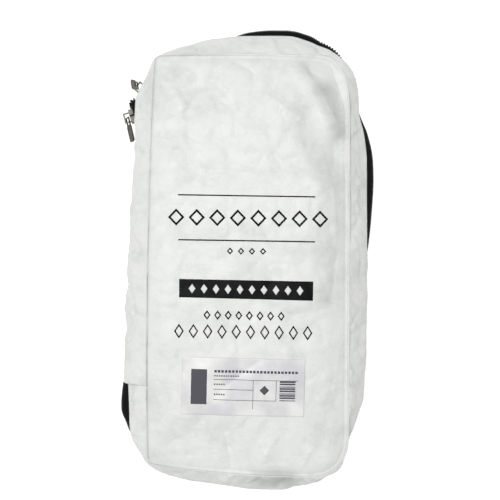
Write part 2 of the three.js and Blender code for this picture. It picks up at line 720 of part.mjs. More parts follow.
// A pull's own axes are x along it from its crossbar, y across it, and z out of its face.
function pullGeometry() {
  const top = -CROSSBAR / 2;
  const eyeEnd = CROSSBAR / 2 + EYE_LENGTH;
  const tip = PULL_LENGTH + top;
  const neck = EYE_WIDTH / 2 + EYE_RIM;
  const wide = PULL_WIDTH / 2;
  const round = TIP_ROUND * wide;
  const shape = new THREE.Shape();
  shape.moveTo(top, -neck);
  shape.lineTo(eyeEnd, -neck);
  shape.lineTo(eyeEnd + 2 * EYE_RIM, -wide);
  shape.lineTo(tip - round, -wide);
  shape.quadraticCurveTo(tip, -wide, tip, -wide + round);
  shape.lineTo(tip, wide - round);
  shape.quadraticCurveTo(tip, wide, tip - round, wide);
  shape.lineTo(eyeEnd + 2 * EYE_RIM, wide);
  shape.lineTo(eyeEnd, neck);
  shape.lineTo(top, neck);
  shape.closePath();
  const eye = new THREE.Path();
  eye.moveTo(CROSSBAR / 2, -EYE_WIDTH / 2);
  eye.lineTo(CROSSBAR / 2, EYE_WIDTH / 2);
  eye.lineTo(eyeEnd, EYE_WIDTH / 2);
  eye.lineTo(eyeEnd, -EYE_WIDTH / 2);
  eye.closePath();
  shape.holes.push(eye);
  const options = { depth: PULL_THICKNESS, bevelEnabled: false, curveSegments: 5 };
  return new THREE.ExtrudeGeometry(shape, options).translate(0, 0, -PULL_THICKNESS / 2);
}

// The place and axes of a slider on the zip
function sliderFrame({ lap, head }) {
  const a = zipPoint(straightStation(lap - halfSliderLap, lap), 0, 0);
  const b = zipPoint(straightStation(lap + halfSliderLap, lap), 0, 0);
  const along = b.clone().sub(a).normalize().multiplyScalar(head);
  const flat = new THREE.Vector3(along.y, -along.x, 0).normalize().multiplyScalar(head);
  const across = flat.clone().cross(along).normalize();
  const matrix = new THREE.Matrix4().makeBasis(along, across, flat);
  return matrix.setPosition(a.add(b).multiplyScalar(0.5));
}

function place(mesh, matrix) {
  matrix.decompose(mesh.position, mesh.quaternion, mesh.scale);
}

// A pull's place in its slider's axes, from where its crossbar is and the way it points and faces
function pullFrame(at, pointing, across) {
  const facing = pointing.clone().cross(across).normalize();
  const acrossTrue = facing.clone().cross(pointing).normalize();
  return new THREE.Matrix4().makeBasis(pointing, acrossTrue, facing).setPosition(at);
}

const DEG = Math.PI / 180;
// Along the zip, away from the head: its crossbar lies under the arch.
function lowerPullFrame() {
  const at = new THREE.Vector3(0, 0, archTop - ARCH_WIRE - ARCH_WINDOW_HEIGHT * CROSSBAR_DROP);
  const roll = LOWER_PULL_ROLL * DEG;
  const lean = LOWER_PULL_LEAN * DEG;
  const across = new THREE.Vector3(0, Math.cos(roll), Math.sin(roll));
  const pointing = new THREE.Vector3(-1, 0, 0).applyAxisAngle(across, lean);
  return pullFrame(at, pointing, across);
}

// Hanging from the arch's bar, turned half across it
function upperPullFrame() {
  const bar = new THREE.Vector3(0, 0, archTop - ARCH_WIRE / 2);
  const lean = UPPER_PULL_LEAN * DEG;
  const yaw = UPPER_PULL_YAW * DEG;
  const pointing = new THREE.Vector3(0, -Math.cos(lean), Math.sin(lean));
  const outward = new THREE.Vector3(0, Math.sin(lean), Math.cos(lean));
  const across = outward.multiplyScalar(Math.cos(yaw)).add(new THREE.Vector3(-Math.sin(yaw), 0, 0));
  const hang = ARCH_WIDTH / 2 + CLEARANCE + CROSSBAR / 2;
  return pullFrame(bar.addScaledVector(pointing, -hang), pointing, across);
}

const PULL_FRAMES = { upper: upperPullFrame, lower: lowerPullFrame };
for (const slider of SLIDERS) {
  const frame = sliderFrame(slider);
  place(addMesh("slider_" + slider.name, sliderGeometry(), METAL), frame);
  const pull = addMesh("pull_" + slider.name, pullGeometry(), METAL);
  place(pull, frame.clone().multiply(PULL_FRAMES[slider.name]()));
}

// The pouch stands on the middle of its own box.
const box = new THREE.Box3().setFromObject(pouch, true);
const middle = box.getCenter(new THREE.Vector3());
pouch.position.set(-middle.x, -middle.y, -box.min.z);

export default pouch;
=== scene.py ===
import math

import bmesh
import bpy
import numpy as np
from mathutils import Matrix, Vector


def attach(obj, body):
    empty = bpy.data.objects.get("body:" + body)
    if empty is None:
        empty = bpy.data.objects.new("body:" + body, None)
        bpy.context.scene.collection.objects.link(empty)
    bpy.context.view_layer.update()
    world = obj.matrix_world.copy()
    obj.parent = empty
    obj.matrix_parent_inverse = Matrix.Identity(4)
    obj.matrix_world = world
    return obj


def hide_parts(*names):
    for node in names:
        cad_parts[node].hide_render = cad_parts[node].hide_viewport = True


# A soft white pouch that opens like a book, lying on its back: two faces, a gusset round each, a zip on
# three sides and a plain spine on the fourth. Shapes are worked out in millimetres, in the pouch's own
# frame, and become metres where a mesh is made.
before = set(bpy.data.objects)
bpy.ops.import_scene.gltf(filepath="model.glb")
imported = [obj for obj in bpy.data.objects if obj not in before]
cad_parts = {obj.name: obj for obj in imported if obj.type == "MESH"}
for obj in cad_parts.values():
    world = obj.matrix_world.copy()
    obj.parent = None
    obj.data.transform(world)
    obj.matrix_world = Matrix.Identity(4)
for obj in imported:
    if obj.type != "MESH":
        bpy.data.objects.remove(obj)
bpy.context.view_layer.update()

MM = 0.001

# The pouch's main sizes
FACE_WIDTH = 165
FACE_HEIGHT = 346
SEAM_HEIGHT = 55
GUSSET_WIDTH = 26
LARGEST_DROP = 22
BACK_FLARE = 0.86
FACE_CROWN = 5
CLOTH = 1.2
CLEARANCE = 0.3
BACK_SEAM_HEIGHT = CLOTH + CLEARANCE
TAPE_SHOWN = 7
TAPE_FLAT = 6
LABEL_WIDTH = 101.6
LABEL_HEIGHT = 47.6

# The pouch's own frame is at the middle of its box, this far from the middle of the face's corners.
SHIFT = np.array([0.659, -4.222, 0.0])

# How the photograph sees it: straight down, from this height above the floor. The pixel at the middle of
# the photograph is over AXIS, and a millimetre on the front seam's level is 1 / PIXEL pixels.
PHOTO_SIZE = 500
CAMERA_HEIGHT = 760
AXIS = np.array([1.5, 12.5]) + SHIFT[:2]
SEAM_LEVEL = 57
PIXEL = 0.826
SENSOR = 36

# Corners of the front seam, anticlockwise from the top left, as shares of half the face's width and
# height. The runs are how much of each side the round corner takes, as shares of the face's width.
CORNERS = [
    {"x": -0.93, "y": 1.0, "run_in": 0.014, "run_out": 0.014},
    {"x": -1.0, "y": -0.948, "run_in": 0.012, "run_out": 0.012},
    {"x": 0.994, "y": -1.009, "run_in": 0.19, "run_out": 0.2},
    {"x": 1.006, "y": 0.988, "run_in": 0.25, "run_out": 0.14},
]

# Each side runs from its own corner to the next one. bow is how far its middle stands out, as a share of
# the face's width.
BOWS = {"left": 0.02, "bottom": 0.027, "right": 0.004, "top": 0.013}
SIDES = list(BOWS)

# The lap counts sides from the top left corner: 0 to 1 is the left side, 1 to 2 the bottom, and so on.
# flare is how far a gusset's edge stands outside the seam, as a share of the gusset's width.
SPINE_TOP = 0.153
SPINE_BOTTOM = 0.811
FLARES = {
    0.0: 0.15, 0.03: 0.29, 0.077: 0.56, 0.1: 0.655, 0.153: 0.66, 0.28: 0.66, 0.42: 0.71, 0.6: 0.71,
    0.66: 0.73, 0.73: 0.79, 0.8105: 0.8, 0.8115: 0.7, 0.87: 0.68, 0.926: 0.66, 0.95: 0.61, 0.985: 0.35,
    1.0: 0.25, 1.04: 0.36, 1.22: 0.56, 1.4: 0.61, 1.57: 0.655, 1.7: 0.58, 1.8: 0.37, 1.9: 0.2,
    2.06: 0.13, 2.12: 0.32, 2.18: 0.55, 2.25: 0.63, 2.42: 0.68, 2.76: 0.675, 2.83: 0.585, 2.885: 0.43,
    2.95: 0.45, 3.05: 0.42, 3.12: 0.5, 3.2: 0.66, 3.31: 0.78, 3.56: 0.755, 3.69: 0.67, 3.84: 0.45,
    3.96: 0.26, 4.0: 0.15,
}

# bulge is how far the zip stands outside the gusset's edge, as a share of the tape shown.
BULGES = {
    0.0: -0.5, 0.06: -0.72, 0.092: -0.2, 0.0945: -0.04, 0.098: 0.5, 0.105: 0.66, 0.116: 0.5, 0.1525: 0.62,
    0.1535: -0.3, 0.22: -0.1, 0.3: 0.2, 0.8105: 0.2, 0.8115: 0.5, 0.88: 0.85, 0.92: 0.3, 0.96: -0.15,
    1.1: -0.3, 1.36: 0.05, 1.5: 0.16, 1.62: 0.0, 1.8: -0.4, 2.1: -0.4, 2.5: -0.25, 2.56: 0.15, 2.62: 0.45,
    2.72: 0.72, 2.78: 0.62, 2.86: 0.2, 2.92: -0.35, 3.03: -0.1, 3.1: 0.45, 3.2: 0.75, 3.4: 0.72, 3.52: 0.5,
    3.62: -0.1, 3.8: -0.5, 4.0: -0.5,
}

# Broad dents and rises of the front face. Places are shares of half the face's size, measured from its
# middle; reach is a share of the face's width and depth a share of the crown.
FOLDS = [
    {"start": (0.62, 0.72), "end": (0.9, 0.5), "reach": 0.1, "depth": -0.75},
    {"start": (0.84, 0.86), "end": (0.93, 0.66), "reach": 0.07, "depth": 0.5},
    {"start": (-0.7, 0.66), "end": (-0.35, 0.8), "reach": 0.1, "depth": -0.35},
    {"start": (-0.2, -0.78), "end": (-0.12, -0.99), "reach": 0.05, "depth": -0.4},
    {"start": (0.2, -0.9), "end": (0.12, -1.0), "reach": 0.05, "depth": 0.35},
    {"start": (0.62, -0.86), "end": (0.5, -1.0), "reach": 0.06, "depth": -0.4},
]

# How high the rolled seam stands along its lap, in millimetres.
RIDGES = {
    0.0: 0.0, 0.9: 0.0, 1.0: 0.1, 1.2: 0.4, 1.5: 0.6, 1.9: 0.5, 2.1: 0.6, 2.5: 0.6, 2.9: 0.7, 3.1: 0.7,
    3.4: 0.6, 3.8: 0.3, 3.95: 0.1, 4.0: 0.0,
}

# Radius of the seam's rolled edge along its lap, in millimetres. The left side has hardly any.
ROLLS = {
    0.0: 0.1, 0.95: 0.1, 1.1: 0.3, 1.5: 0.45, 1.85: 0.55, 2.05: 0.95, 2.5: 1.1, 2.9: 1.1, 3.1: 0.95,
    3.35: 0.75, 3.6: 0.45, 3.85: 0.2, 4.0: 0.1,
}

# How deep the seam's groove is along its lap, and how much shade is painted into it, from 0 to 1.
GROOVE_DEPTH_AND_SHADE = {
    0.0: 1.0, 0.3: 0.8, 0.6: 0.9, 0.97: 0.95, 1.03: 0.75, 1.3: 0.6, 1.6: 0.5, 1.85: 0.3, 2.0: 0.05,
    2.9: 0.03, 3.1: 0.2, 3.5: 0.3, 3.75: 0.65, 3.9: 0.9, 4.0: 1.0,
}

# Places where shade is painted into the cloth's colour, from one pixel of the photograph to another. The last
# two numbers are their reach in millimetres and how much of the cloth's lightness the painted shade takes
# away.
PAINTED_SHADE_PLACES = [
    (335, 140, 332, 300, 10, 0.15), (331, 300, 337, 450, 8, 0.08), (303, 66, 318, 90, 6, 0.19),
    (326, 92, 340, 132, 7, 0.3), (165, 60, 205, 112, 14, 0.05), (200, 57, 320, 62, 8, 0.04),
    (236, 82, 262, 96, 18, 0.04), (260, 482, 290, 480, 8, 0.36), (312, 474, 340, 462, 6, 0.07),
]

# Creases in the cloth. Each runs from one pixel of the photograph to another. The last two numbers are how
# far it spreads and how far it stands, in millimetres. The sharp ones have an edge along their line.
SHARP_CREASES = [
    (331, 61, 346, 108, 8, -6.0), (305, 70, 318, 90, 7, 1.4), (318, 90, 336, 122, 7, 1.8),
    (280, 60, 322, 61, 5, -1.2), (334, 190, 337, 250, 6, 0.9), (337, 250, 331, 300, 7, -1.1),
    (157, 58, 176, 66, 4, 1.0), (154, 66, 163, 86, 4, 0.9), (160, 120, 186, 108, 6, 0.8),
    (262, 92, 300, 118, 8, 0.9), (216, 140, 244, 172, 7, -0.8), (225, 430, 228, 448, 5, -1.2),
    (228, 448, 232, 470, 5, -1.4), (178, 430, 196, 446, 6, 0.8), (266, 455, 257, 471, 4, 1.3),
    (276, 440, 266, 455, 5, 1.0), (310, 452, 300, 470, 4, 1.3), (336, 305, 350, 320, 5, 1.4),
    (340, 345, 334, 390, 6, 0.9), (316, 264, 330, 300, 6, -0.8), (255.5, 38, 255.5, 55, 2.5, -0.9),
    (304, 42, 304, 56, 2.5, -0.5), (196, 44, 199, 56, 3, -1.2), (141, 157, 150, 156, 2.5, -1.0),
    (134, 203, 150, 200, 3, -1.1), (129, 313, 148, 319, 4, -1.4), (132, 420, 148, 406, 4, 1.5),
    (138, 432, 146, 414, 3, -1.2), (350, 300, 364, 303, 3, -1.2), (363, 360, 350, 374, 4, 1.5),
    (352, 386, 362, 392, 4, -1.4), (349, 130, 362, 133, 3, -0.9), (349, 226, 366, 236, 3, 1.0),
    (364, 312, 353, 330, 4, 1.3), (352, 334, 363, 344, 4, -1.3), (364, 404, 352, 412, 4, 1.2),
    (351, 424, 358, 432, 4, -1.0), (222, 485, 233, 475, 3, 1.8), (214, 483, 228, 473, 5, -1.4),
    (255, 486, 262, 476, 3, -1.8), (264, 477, 272, 486, 3, 1.6), (276, 476, 281, 486, 3, -1.6),
    (286, 475, 293, 483, 3, 1.4), (132, 236, 148, 246, 4, 0.9), (130, 262, 149, 272, 4, -0.8),
    (129, 340, 145, 352, 5, 1.0), (272, 38, 280, 55, 3, 0.8), (316, 48, 326, 60, 3, -0.8),
    (212, 47, 216, 56, 3, 0.7), (262, 479, 258, 490, 3, 1.1), (292, 477, 300, 488, 4, -1.1),
    (312, 474, 318, 482, 4, 1.0), (186, 468, 180, 476, 3, 0.7), (231, 473, 225, 486, 3, 1.4),
    (246, 477, 252, 488, 4, -1.2), (276, 476, 284, 490, 4, 1.2),
]
SOFT_CREASES = [
    (338, 130, 334, 190, 8, -1.0), (185, 92, 212, 82, 8, -1.2), (168, 72, 180, 98, 7, 1.1),
    (225, 100, 262, 122, 9, -1.0),
]


def on_curve(t, start, end, start_tangent, end_tangent):
    """A place on the cubic curve that has these ends and tangents, for t from 0 to 1."""
    return (
        start * (2 * t**3 - 3 * t**2 + 1)
        + end * (3 * t**2 - 2 * t**3)
        + start_tangent * (t**3 - 2 * t**2 + t)
        + end_tangent * (t**3 - t**2)
    )


def from_table(table, lap):
    """A value at a lap, on a smooth curve through the table's rows that never passes a row's own value
    where the table turns back."""
    laps, values = list(table), list(table.values())
    last = len(laps) - 1
    i = min(max(int(np.searchsorted(laps, lap)) - 1, 0), last - 1)

    def slope(k):
        return (values[k + 1] - values[k]) / (laps[k + 1] - laps[k])

    def tangent(k):
        if k in (0, last):
            return 0
        before, after = slope(k - 1), slope(k)
        return 0 if before * after <= 0 else 2 * before * after / (before + after)

    width = laps[i + 1] - laps[i]
    t = min(max((lap - laps[i]) / width, 0), 1)
    return on_curve(t, values[i], values[i + 1], tangent(i) * width, tangent(i + 1) * width)


def along_seam(table, laps):
    """A table's values at many laps, on straight lines between its rows."""
    return np.interp(laps, list(table), list(table.values()))


def corner(i):
    c = CORNERS[i % len(CORNERS)]
    return np.array([c["x"] * FACE_WIDTH / 2, c["y"] * FACE_HEIGHT / 2])


def side_point(side, share):
    along = corner(side + 1) - corner(side)
    outward = np.array([along[1], -along[0]]) / np.hypot(*along)
    bow = BOWS[SIDES[side]] * FACE_WIDTH * (4 * share * (1 - share)) ** 0.7
    return corner(side) + along * share + outward * bow


def side_ends(side):
    length = np.hypot(*(corner(side + 1) - corner(side)))
    following = CORNERS[(side + 1) % len(CORNERS)]
    return CORNERS[side]["run_out"] * FACE_WIDTH / length, 1 - following["run_in"] * FACE_WIDTH / length


def seam_point(lap):
    """The place of the front seam at a lap, seen from above."""
    turn = lap % len(SIDES)
    side = min(int(turn), len(SIDES) - 1)
    share = turn - side
    start, end = side_ends(side)
    if start <= share <= end:
        return side_point(side, share)
    i = side if share < start else (side + 1) % len(SIDES)
    before = (i - 1) % len(SIDES)
    before_end, after_start = side_ends(before)[1], side_ends(i)[0]
    past_corner = share if share < start else share - 1
    t = (past_corner - (before_end - 1)) / (after_start - (before_end - 1))
    a, b = side_point(before, before_end), side_point(i, after_start)
    return a * (1 - t) ** 2 + corner(i) * 2 * t * (1 - t) + b * t**2


def seam_normal(lap):
    step = 0.004
    along = seam_point(lap + step) - seam_point(lap - step)
    return np.array([along[1], -along[0]]) / np.hypot(*along)


SECTION_LEVELS = [
    "seam", "gusset", "edge", "flat_top", "middle", "flat_bottom", "back_edge", "back_gusset", "back_seam",
]
GUSSET_SWELL = 0.06 * GUSSET_WIDTH
TAPE_SLOPE = 0.62  # how much of a tape's slanted part is height, once its bulge is taken off


def section_at(lap):
    """One station's section, from the front seam to the back seam: distance outside the seam, height."""
    flare = from_table(FLARES, lap % len(SIDES)) * GUSSET_WIDTH
    bulge = from_table(BULGES, lap % len(SIDES)) * TAPE_SHOWN
    top = SEAM_HEIGHT - CLOTH - CLEARANCE
    edge = top - min(math.sqrt(GUSSET_WIDTH**2 - flare**2), LARGEST_DROP)
    tape_drop = math.sqrt(TAPE_SHOWN**2 - bulge**2) * TAPE_SLOPE
    flat_top = edge - tape_drop
    middle = flat_top - TAPE_FLAT
    flat_bottom = middle - TAPE_FLAT
    back_edge = max(flat_bottom - tape_drop, BACK_SEAM_HEIGHT + 2 * CLOTH)
    out = flare + bulge
    return np.array([
        (0, top),
        (flare / 2 + GUSSET_SWELL * flare / GUSSET_WIDTH, (SEAM_HEIGHT + edge) / 2 + GUSSET_SWELL / 2),
        (flare, edge),
        (out, flat_top),
        (out, middle),
        (out, flat_bottom),
        (flare * BACK_FLARE + bulge * 0.2, back_edge),
        (flare * BACK_FLARE * 0.62, back_edge * 0.42 + BACK_SEAM_HEIGHT * 0.58),
        (0, BACK_SEAM_HEIGHT),
    ])


def level(name):
    return SECTION_LEVELS.index(name)


# Each slider's middle is at a lap, and all cloth and tape near it runs straight from one of its ends to
# the other.
SLIDER_LAPS = {"upper": 0.072, "lower": 0.1345}
SLIDER_LENGTH = 11.4
SLIDER_ROOM = 0.6
LEFT_LENGTH = np.hypot(*(corner(1) - corner(0)))
HALF_SLIDER = (SLIDER_LENGTH / 2 + SLIDER_ROOM) / LEFT_LENGTH


def station(lap):
    """The seam's place, its outward direction and the section there."""
    for middle in SLIDER_LAPS.values():
        if abs(lap % len(SIDES) - middle) < HALF_SLIDER:
            ends = (middle - HALF_SLIDER, middle + HALF_SLIDER)
            stations = [(seam_point(end), seam_normal(end), section_at(end)) for end in ends]
            t = (lap % len(SIDES) - middle + HALF_SLIDER) / (2 * HALF_SLIDER)
            return tuple(a * (1 - t) + b * t for a, b in zip(*stations))
    return seam_point(lap), seam_normal(lap), section_at(lap)


# Stations along the seam, evenly spaced
STATION_STEP = 1.5
_fine = np.linspace(0, 4, 4001)
_fine_points = np.array([seam_point(lap) for lap in _fine])
_fine_lengths = np.concatenate([[0], np.cumsum(np.hypot(*np.diff(_fine_points, axis=0).T))])
SEAM_LENGTH = _fine_lengths[-1]


def laps_between(start, end, step=STATION_STEP):
    """Evenly spaced laps from one lap to another, which may lie past the top left corner."""
    def length_at(lap):
        return np.interp(lap % 4, _fine, _fine_lengths) + SEAM_LENGTH * (lap // 4)

    a, b = length_at(start), length_at(end)
    lengths = np.linspace(a, b, max(int(round((b - a) / step)), 2) + 1)
    return np.interp(lengths % SEAM_LENGTH, _fine_lengths, _fine) + 4 * (lengths // SEAM_LENGTH)


def photo_place(pixel, height=SEAM_LEVEL):
    """The place in the pouch's frame that a pixel of the photograph shows, at that height."""
    size = PIXEL * (CAMERA_HEIGHT - height) / (CAMERA_HEIGHT - SEAM_LEVEL)
    half = PHOTO_SIZE / 2
    return np.array([AXIS[0] + (pixel[0] - half) * size, AXIS[1] - (pixel[1] - half) * size])


# Uneven surfaces. A crumple is how wide its facets are, how deep they are, both in millimetres, and its
# seed or what is added to it.
FACE_CRUMPLES = [(42, 3.6, 5), (17, 2.2, 8), (7, 0.6, 21)]
GUSSET_CRUMPLES = [(21, 5.2, 0), (9, 3.7, 5)]
CREASE_EDGE = 1.4  # how steeply a sharp crease falls off
SEAM_CALM = 12  # the cloth lies smoother this close to a seam, to a band's ends and to the sticker
END_CALM = 8
LABEL_CALM = 5


def lattice(ix, iy, seed):
    """A repeatable number from -1 to 1 for each whole place."""
    n = (ix.astype(np.int64) * 374761393 + iy.astype(np.int64) * 668265263 + seed * 1442695041) & 0x7FFFFFFF
    n = ((n ^ (n >> 13)) * 1274126177) & 0x7FFFFFFF
    return (n ^ (n >> 16)) / 0x3FFFFFFF - 1


def noise(x, y, size, seed):
    """Smooth hills and dips from -1 to 1, that many millimetres apart."""
    x, y = np.asarray(x) / size, np.asarray(y) / size
    ix, iy = np.floor(x), np.floor(y)
    fx, fy = x - ix, y - iy
    fx, fy = (f * f * f * (f * (f * 6 - 15) + 10) for f in (fx, fy))
    a = lattice(ix, iy, seed) * (1 - fx) + lattice(ix + 1, iy, seed) * fx
    b = lattice(ix, iy + 1, seed) * (1 - fx) + lattice(ix + 1, iy + 1, seed) * fx
    return a * (1 - fy) + b * fy


def crumple(x, y, size, seed):
    """Flat facets with sharp edges between them, as in stiff cloth that was pressed and let go."""
    bend_x = x + noise(x, y, size * 1.3, seed + 11) * size * 0.5
    bend_y = y + noise(x, y, size * 1.3, seed + 12) * size * 0.5
    total = np.zeros_like(np.asarray(x, dtype=float))
    for k, angle in enumerate((0.3, 1.5, 2.5)):
        run = math.cos(angle) * bend_x + math.sin(angle) * bend_y
        cross = -math.sin(angle) * bend_x + math.cos(angle) * bend_y
        total += np.abs(noise(run, cross * 0.45, size, seed + k)) - 0.4
    return total / 3


def line_distance(x, y, a, b):
    """How far places are from the straight line between two points."""
    along = b - a
    t = np.clip(((x - a[0]) * along[0] + (y - a[1]) * along[1]) / (along @ along), 0, 1)
    return np.hypot(x - a[0] - along[0] * t, y - a[1] - along[1] * t)


def add_up(table, x, y, shape):
    """The sum of a table's rows at places of the pouch's frame, each with a shape of its own distance."""
    total = np.zeros_like(np.asarray(x, dtype=float))
    for x0, y0, x1, y1, reach, amount in table:
        distance = line_distance(x, y, photo_place((x0, y0)), photo_place((x1, y1))) / reach
        total += amount * shape(distance)
    return total


def crease_height(x, y):
    sharp = add_up(SHARP_CREASES, x, y, lambda distance: np.exp(-distance * CREASE_EDGE))
    return sharp + add_up(SOFT_CREASES, x, y, lambda distance: np.exp(-(distance**2)))


def painted_shade_at(x, y):
    """How much shade is painted into the cloth's colour at a place of the pouch's frame, seen from above."""
    return add_up(PAINTED_SHADE_PLACES, x, y, lambda distance: np.exp(-(distance**2)))


# Mesh making
EDGE_ROUND = 0.7  # how far a sheet's edge is rounded out, as a share of half its thickness


def make_object(name, points, faces, material, strip=None):
    """An object from points in millimetres. strip is each point's place along and across a strip of cloth,
    and how much painted shade it carries there, which its material reads."""
    mesh = bpy.data.meshes.new(name)
    mesh.from_pydata((np.asarray(points, dtype=float) * MM).tolist(), [], faces)
    work = bmesh.new()
    work.from_mesh(mesh)
    bmesh.ops.recalc_face_normals(work, faces=work.faces)
    work.to_mesh(mesh)
    work.free()
    if strip is not None:
        values = mesh.attributes.new("strip", "FLOAT_VECTOR", "POINT")
        values.data.foreach_set("vector", np.asarray(strip, dtype=np.float32).ravel())
    mesh.polygons.foreach_set("use_smooth", [True] * len(mesh.polygons))
    mesh.materials.append(material)
    piece = bpy.data.objects.new(name, mesh)
    bpy.context.scene.collection.objects.link(piece)
    return piece


def tube_faces(rings, sides, first=0, endless=False):
    """Faces of a tube from rings of points. Its two ends are closed, or an endless tube's are joined."""
    faces = []
    for ring in range(rings if endless else rings - 1):
        here, ahead = first + ring * sides, first + (ring + 1) % rings * sides
        for k in range(sides):
            after = (k + 1) % sides
            faces.append([here + k, here + after, ahead + after, ahead + k])
    if not endless:
        faces.append([first + k for k in reversed(range(sides))])
        faces.append([first + (rings - 1) * sides + k for k in range(sides)])
    return faces


def grid_faces(rows, columns, first=0):
    index = first + np.arange(rows * columns).reshape(rows, columns)
    a, b, c, d = index[:-1, :-1], index[:-1, 1:], index[1:, 1:], index[1:, :-1]
    return np.stack([a, b, c, d], axis=-1).reshape(-1, 4).tolist()


def border(rows, columns):
    """The indices round a grid's border, in order."""
    index = np.arange(rows * columns).reshape(rows, columns)
    return np.concatenate([index[0, :-1], index[:-1, -1], index[-1, :0:-1], index[:0:-1, 0]])


def closed_sheet(name, outer, inner, material, strip):
    """Cloth with an outer and an inner side, closed all round by a rounded edge. Both sides are grids of
    points of the same size."""
    rows, columns = outer.shape[:2]
    count = rows * columns
    ring = border(rows, columns)
    faces = grid_faces(rows, columns) + [face[::-1] for face in grid_faces(rows, columns, count)]
    inside = outer.copy()
    inside[0], inside[-1] = outer[1], outer[-2]
    inside[:, 0], inside[:, -1] = inside[:, 1], inside[:, -2]
    outer, inner, inside, strip = (grid.reshape(-1, 3) for grid in (outer, inner, inside, strip))
    a, b = outer[ring], inner[ring]
    away = a - inside[ring]
    away /= np.maximum(np.linalg.norm(away, axis=1, keepdims=True), 1e-6)
    half = np.linalg.norm(a - b, axis=1, keepdims=True) / 2
    middle = (a + b) / 2 + away * half * EDGE_ROUND
    loops = [ring, np.arange(len(ring)) + 2 * count, ring + count]
    for first, second in zip(loops, loops[1:]):
        turned = np.roll(first, -1), np.roll(second, -1)
        faces += np.stack([first, second, turned[1], turned[0]], axis=-1).tolist()
    strips = np.concatenate([strip, strip, strip[ring]])
    return make_object(name, np.concatenate([outer, inner, middle]), faces, material, strips)


def smooth_rows(rows, per_segment):
    """Points on a smooth curve through each station's rows. rows is (stations, rows, 2)."""
    chord = np.linalg.norm(np.diff(rows, axis=1), axis=2)
    slopes = np.diff(rows, axis=1) / chord[..., None]
    tangents = np.empty_like(rows)
    tangents[:, 0], tangents[:, -1] = slopes[:, 0], slopes[:, -1]
    before, after = chord[:, :-1, None], chord[:, 1:, None]
    tangents[:, 1:-1] = (slopes[:, :-1] * after + slopes[:, 1:] * before) / (before + after)
    parts = []
    for k in range(rows.shape[1] - 1):
        last = k == rows.shape[1] - 2
        t = np.linspace(0, 1, per_segment + 1)[: None if last else -1][None, :, None]
        length = chord[:, k][:, None, None]
        start, end = rows[:, k][:, None], rows[:, k + 1][:, None]
        leaving, arriving = (tangents[:, j][:, None] * length for j in (k, k + 1))
        parts.append(on_curve(t, start, end, leaving, arriving))
    return np.concatenate(parts, axis=1)


def band(laps, sections):
    """Points of a band round the pouch, from each station's section of distances outside and heights."""
    at, normal = (np.array([station(lap)[k] for lap in laps]) for k in (0, 1))
    plan = at[:, None, :] + normal[:, None, :] * sections[..., :1]
    return np.concatenate([plan, sections[..., 1:]], axis=2) + SHIFT


def outward_of(sections):
    """The direction straight out of the cloth at each point of the sections."""
    along = np.gradient(sections, axis=1)
    along /= np.linalg.norm(along, axis=2, keepdims=True)
    return np.stack([-along[..., 1], along[..., 0]], axis=2)


def offset(sections, depth):
    """The sections moved inwards by a depth, square to themselves."""
    return sections - outward_of(sections) * np.asarray(depth)[..., None]


def run_lengths(points):
    """Distance along the middle column of a grid of points and across each row, and a nought."""
    middle = points[:, points.shape[1] // 2]
    along = np.concatenate([[0], np.cumsum(np.linalg.norm(np.diff(middle, axis=0), axis=1))])
    steps = np.linalg.norm(np.diff(points, axis=1), axis=2)
    across = np.concatenate([np.zeros((len(points), 1)), np.cumsum(steps, axis=1)], axis=1)
    along = np.repeat(along[:, None], points.shape[1], axis=1)
    return np.stack([along, across, np.zeros_like(across)], axis=2)


# The front face's surface
MIDDLE = np.array([0, -0.01 * FACE_HEIGHT / 2])
OUTLINE_ANGLES = np.arctan2(_fine_points[:-1, 1] - MIDDLE[1], _fine_points[:-1, 0] - MIDDLE[0])
_order = np.argsort(OUTLINE_ANGLES)
OUTLINE_RADII = np.hypot(*(_fine_points[:-1] - MIDDLE).T)[_order]
OUTLINE_ANGLES = OUTLINE_ANGLES[_order]


def share_at(x, y):
    """How far a place of the face lies from its middle towards the seam, 0 to 1."""
    dx, dy = x - MIDDLE[0], y - MIDDLE[1]
    radius = np.interp(np.arctan2(dy, dx), OUTLINE_ANGLES, OUTLINE_RADII, period=2 * math.pi)
    return np.clip(np.hypot(dx, dy) / radius, 0, 1)


def seam_distance(x, y):
    """Distance to the front seam, and the lap of its nearest point."""
    outline = _fine_points[:-1:4]
    laps = _fine[:-1:4]
    flat = np.stack([np.ravel(x), np.ravel(y)], axis=1)
    distances, nearest = np.empty(len(flat)), np.empty(len(flat))
    for start in range(0, len(flat), 4000):
        part = flat[start : start + 4000]
        gaps = ((part[:, None] - outline[None]) ** 2).sum(axis=2)
        best = gaps.argmin(axis=1)
        distances[start : start + 4000] = np.sqrt(gaps[np.arange(len(part)), best])
        nearest[start : start + 4000] = laps[best]
    return distances.reshape(np.shape(x)), nearest.reshape(np.shape(x))


LABEL_AT = np.array([-0.025 * FACE_WIDTH, -0.29 * FACE_HEIGHT]) + SHIFT[:2]
LABEL_TURN = math.radians(-1.4)


def label_cover(x, y):
    """1 where the sticker keeps the cloth smooth, 0 away from it. x and y are measured from the middle of
    the face."""
    dx, dy = x + SHIFT[0] - LABEL_AT[0], y + SHIFT[1] - LABEL_AT[1]
    c, s = math.cos(LABEL_TURN), math.sin(LABEL_TURN)
    past_side = np.abs(dx * c + dy * s) - LABEL_WIDTH / 2
    past_end = np.abs(dy * c - dx * s) - LABEL_HEIGHT / 2
    return np.clip(1 - np.maximum(past_side, past_end) / LABEL_CALM, 0, 1)


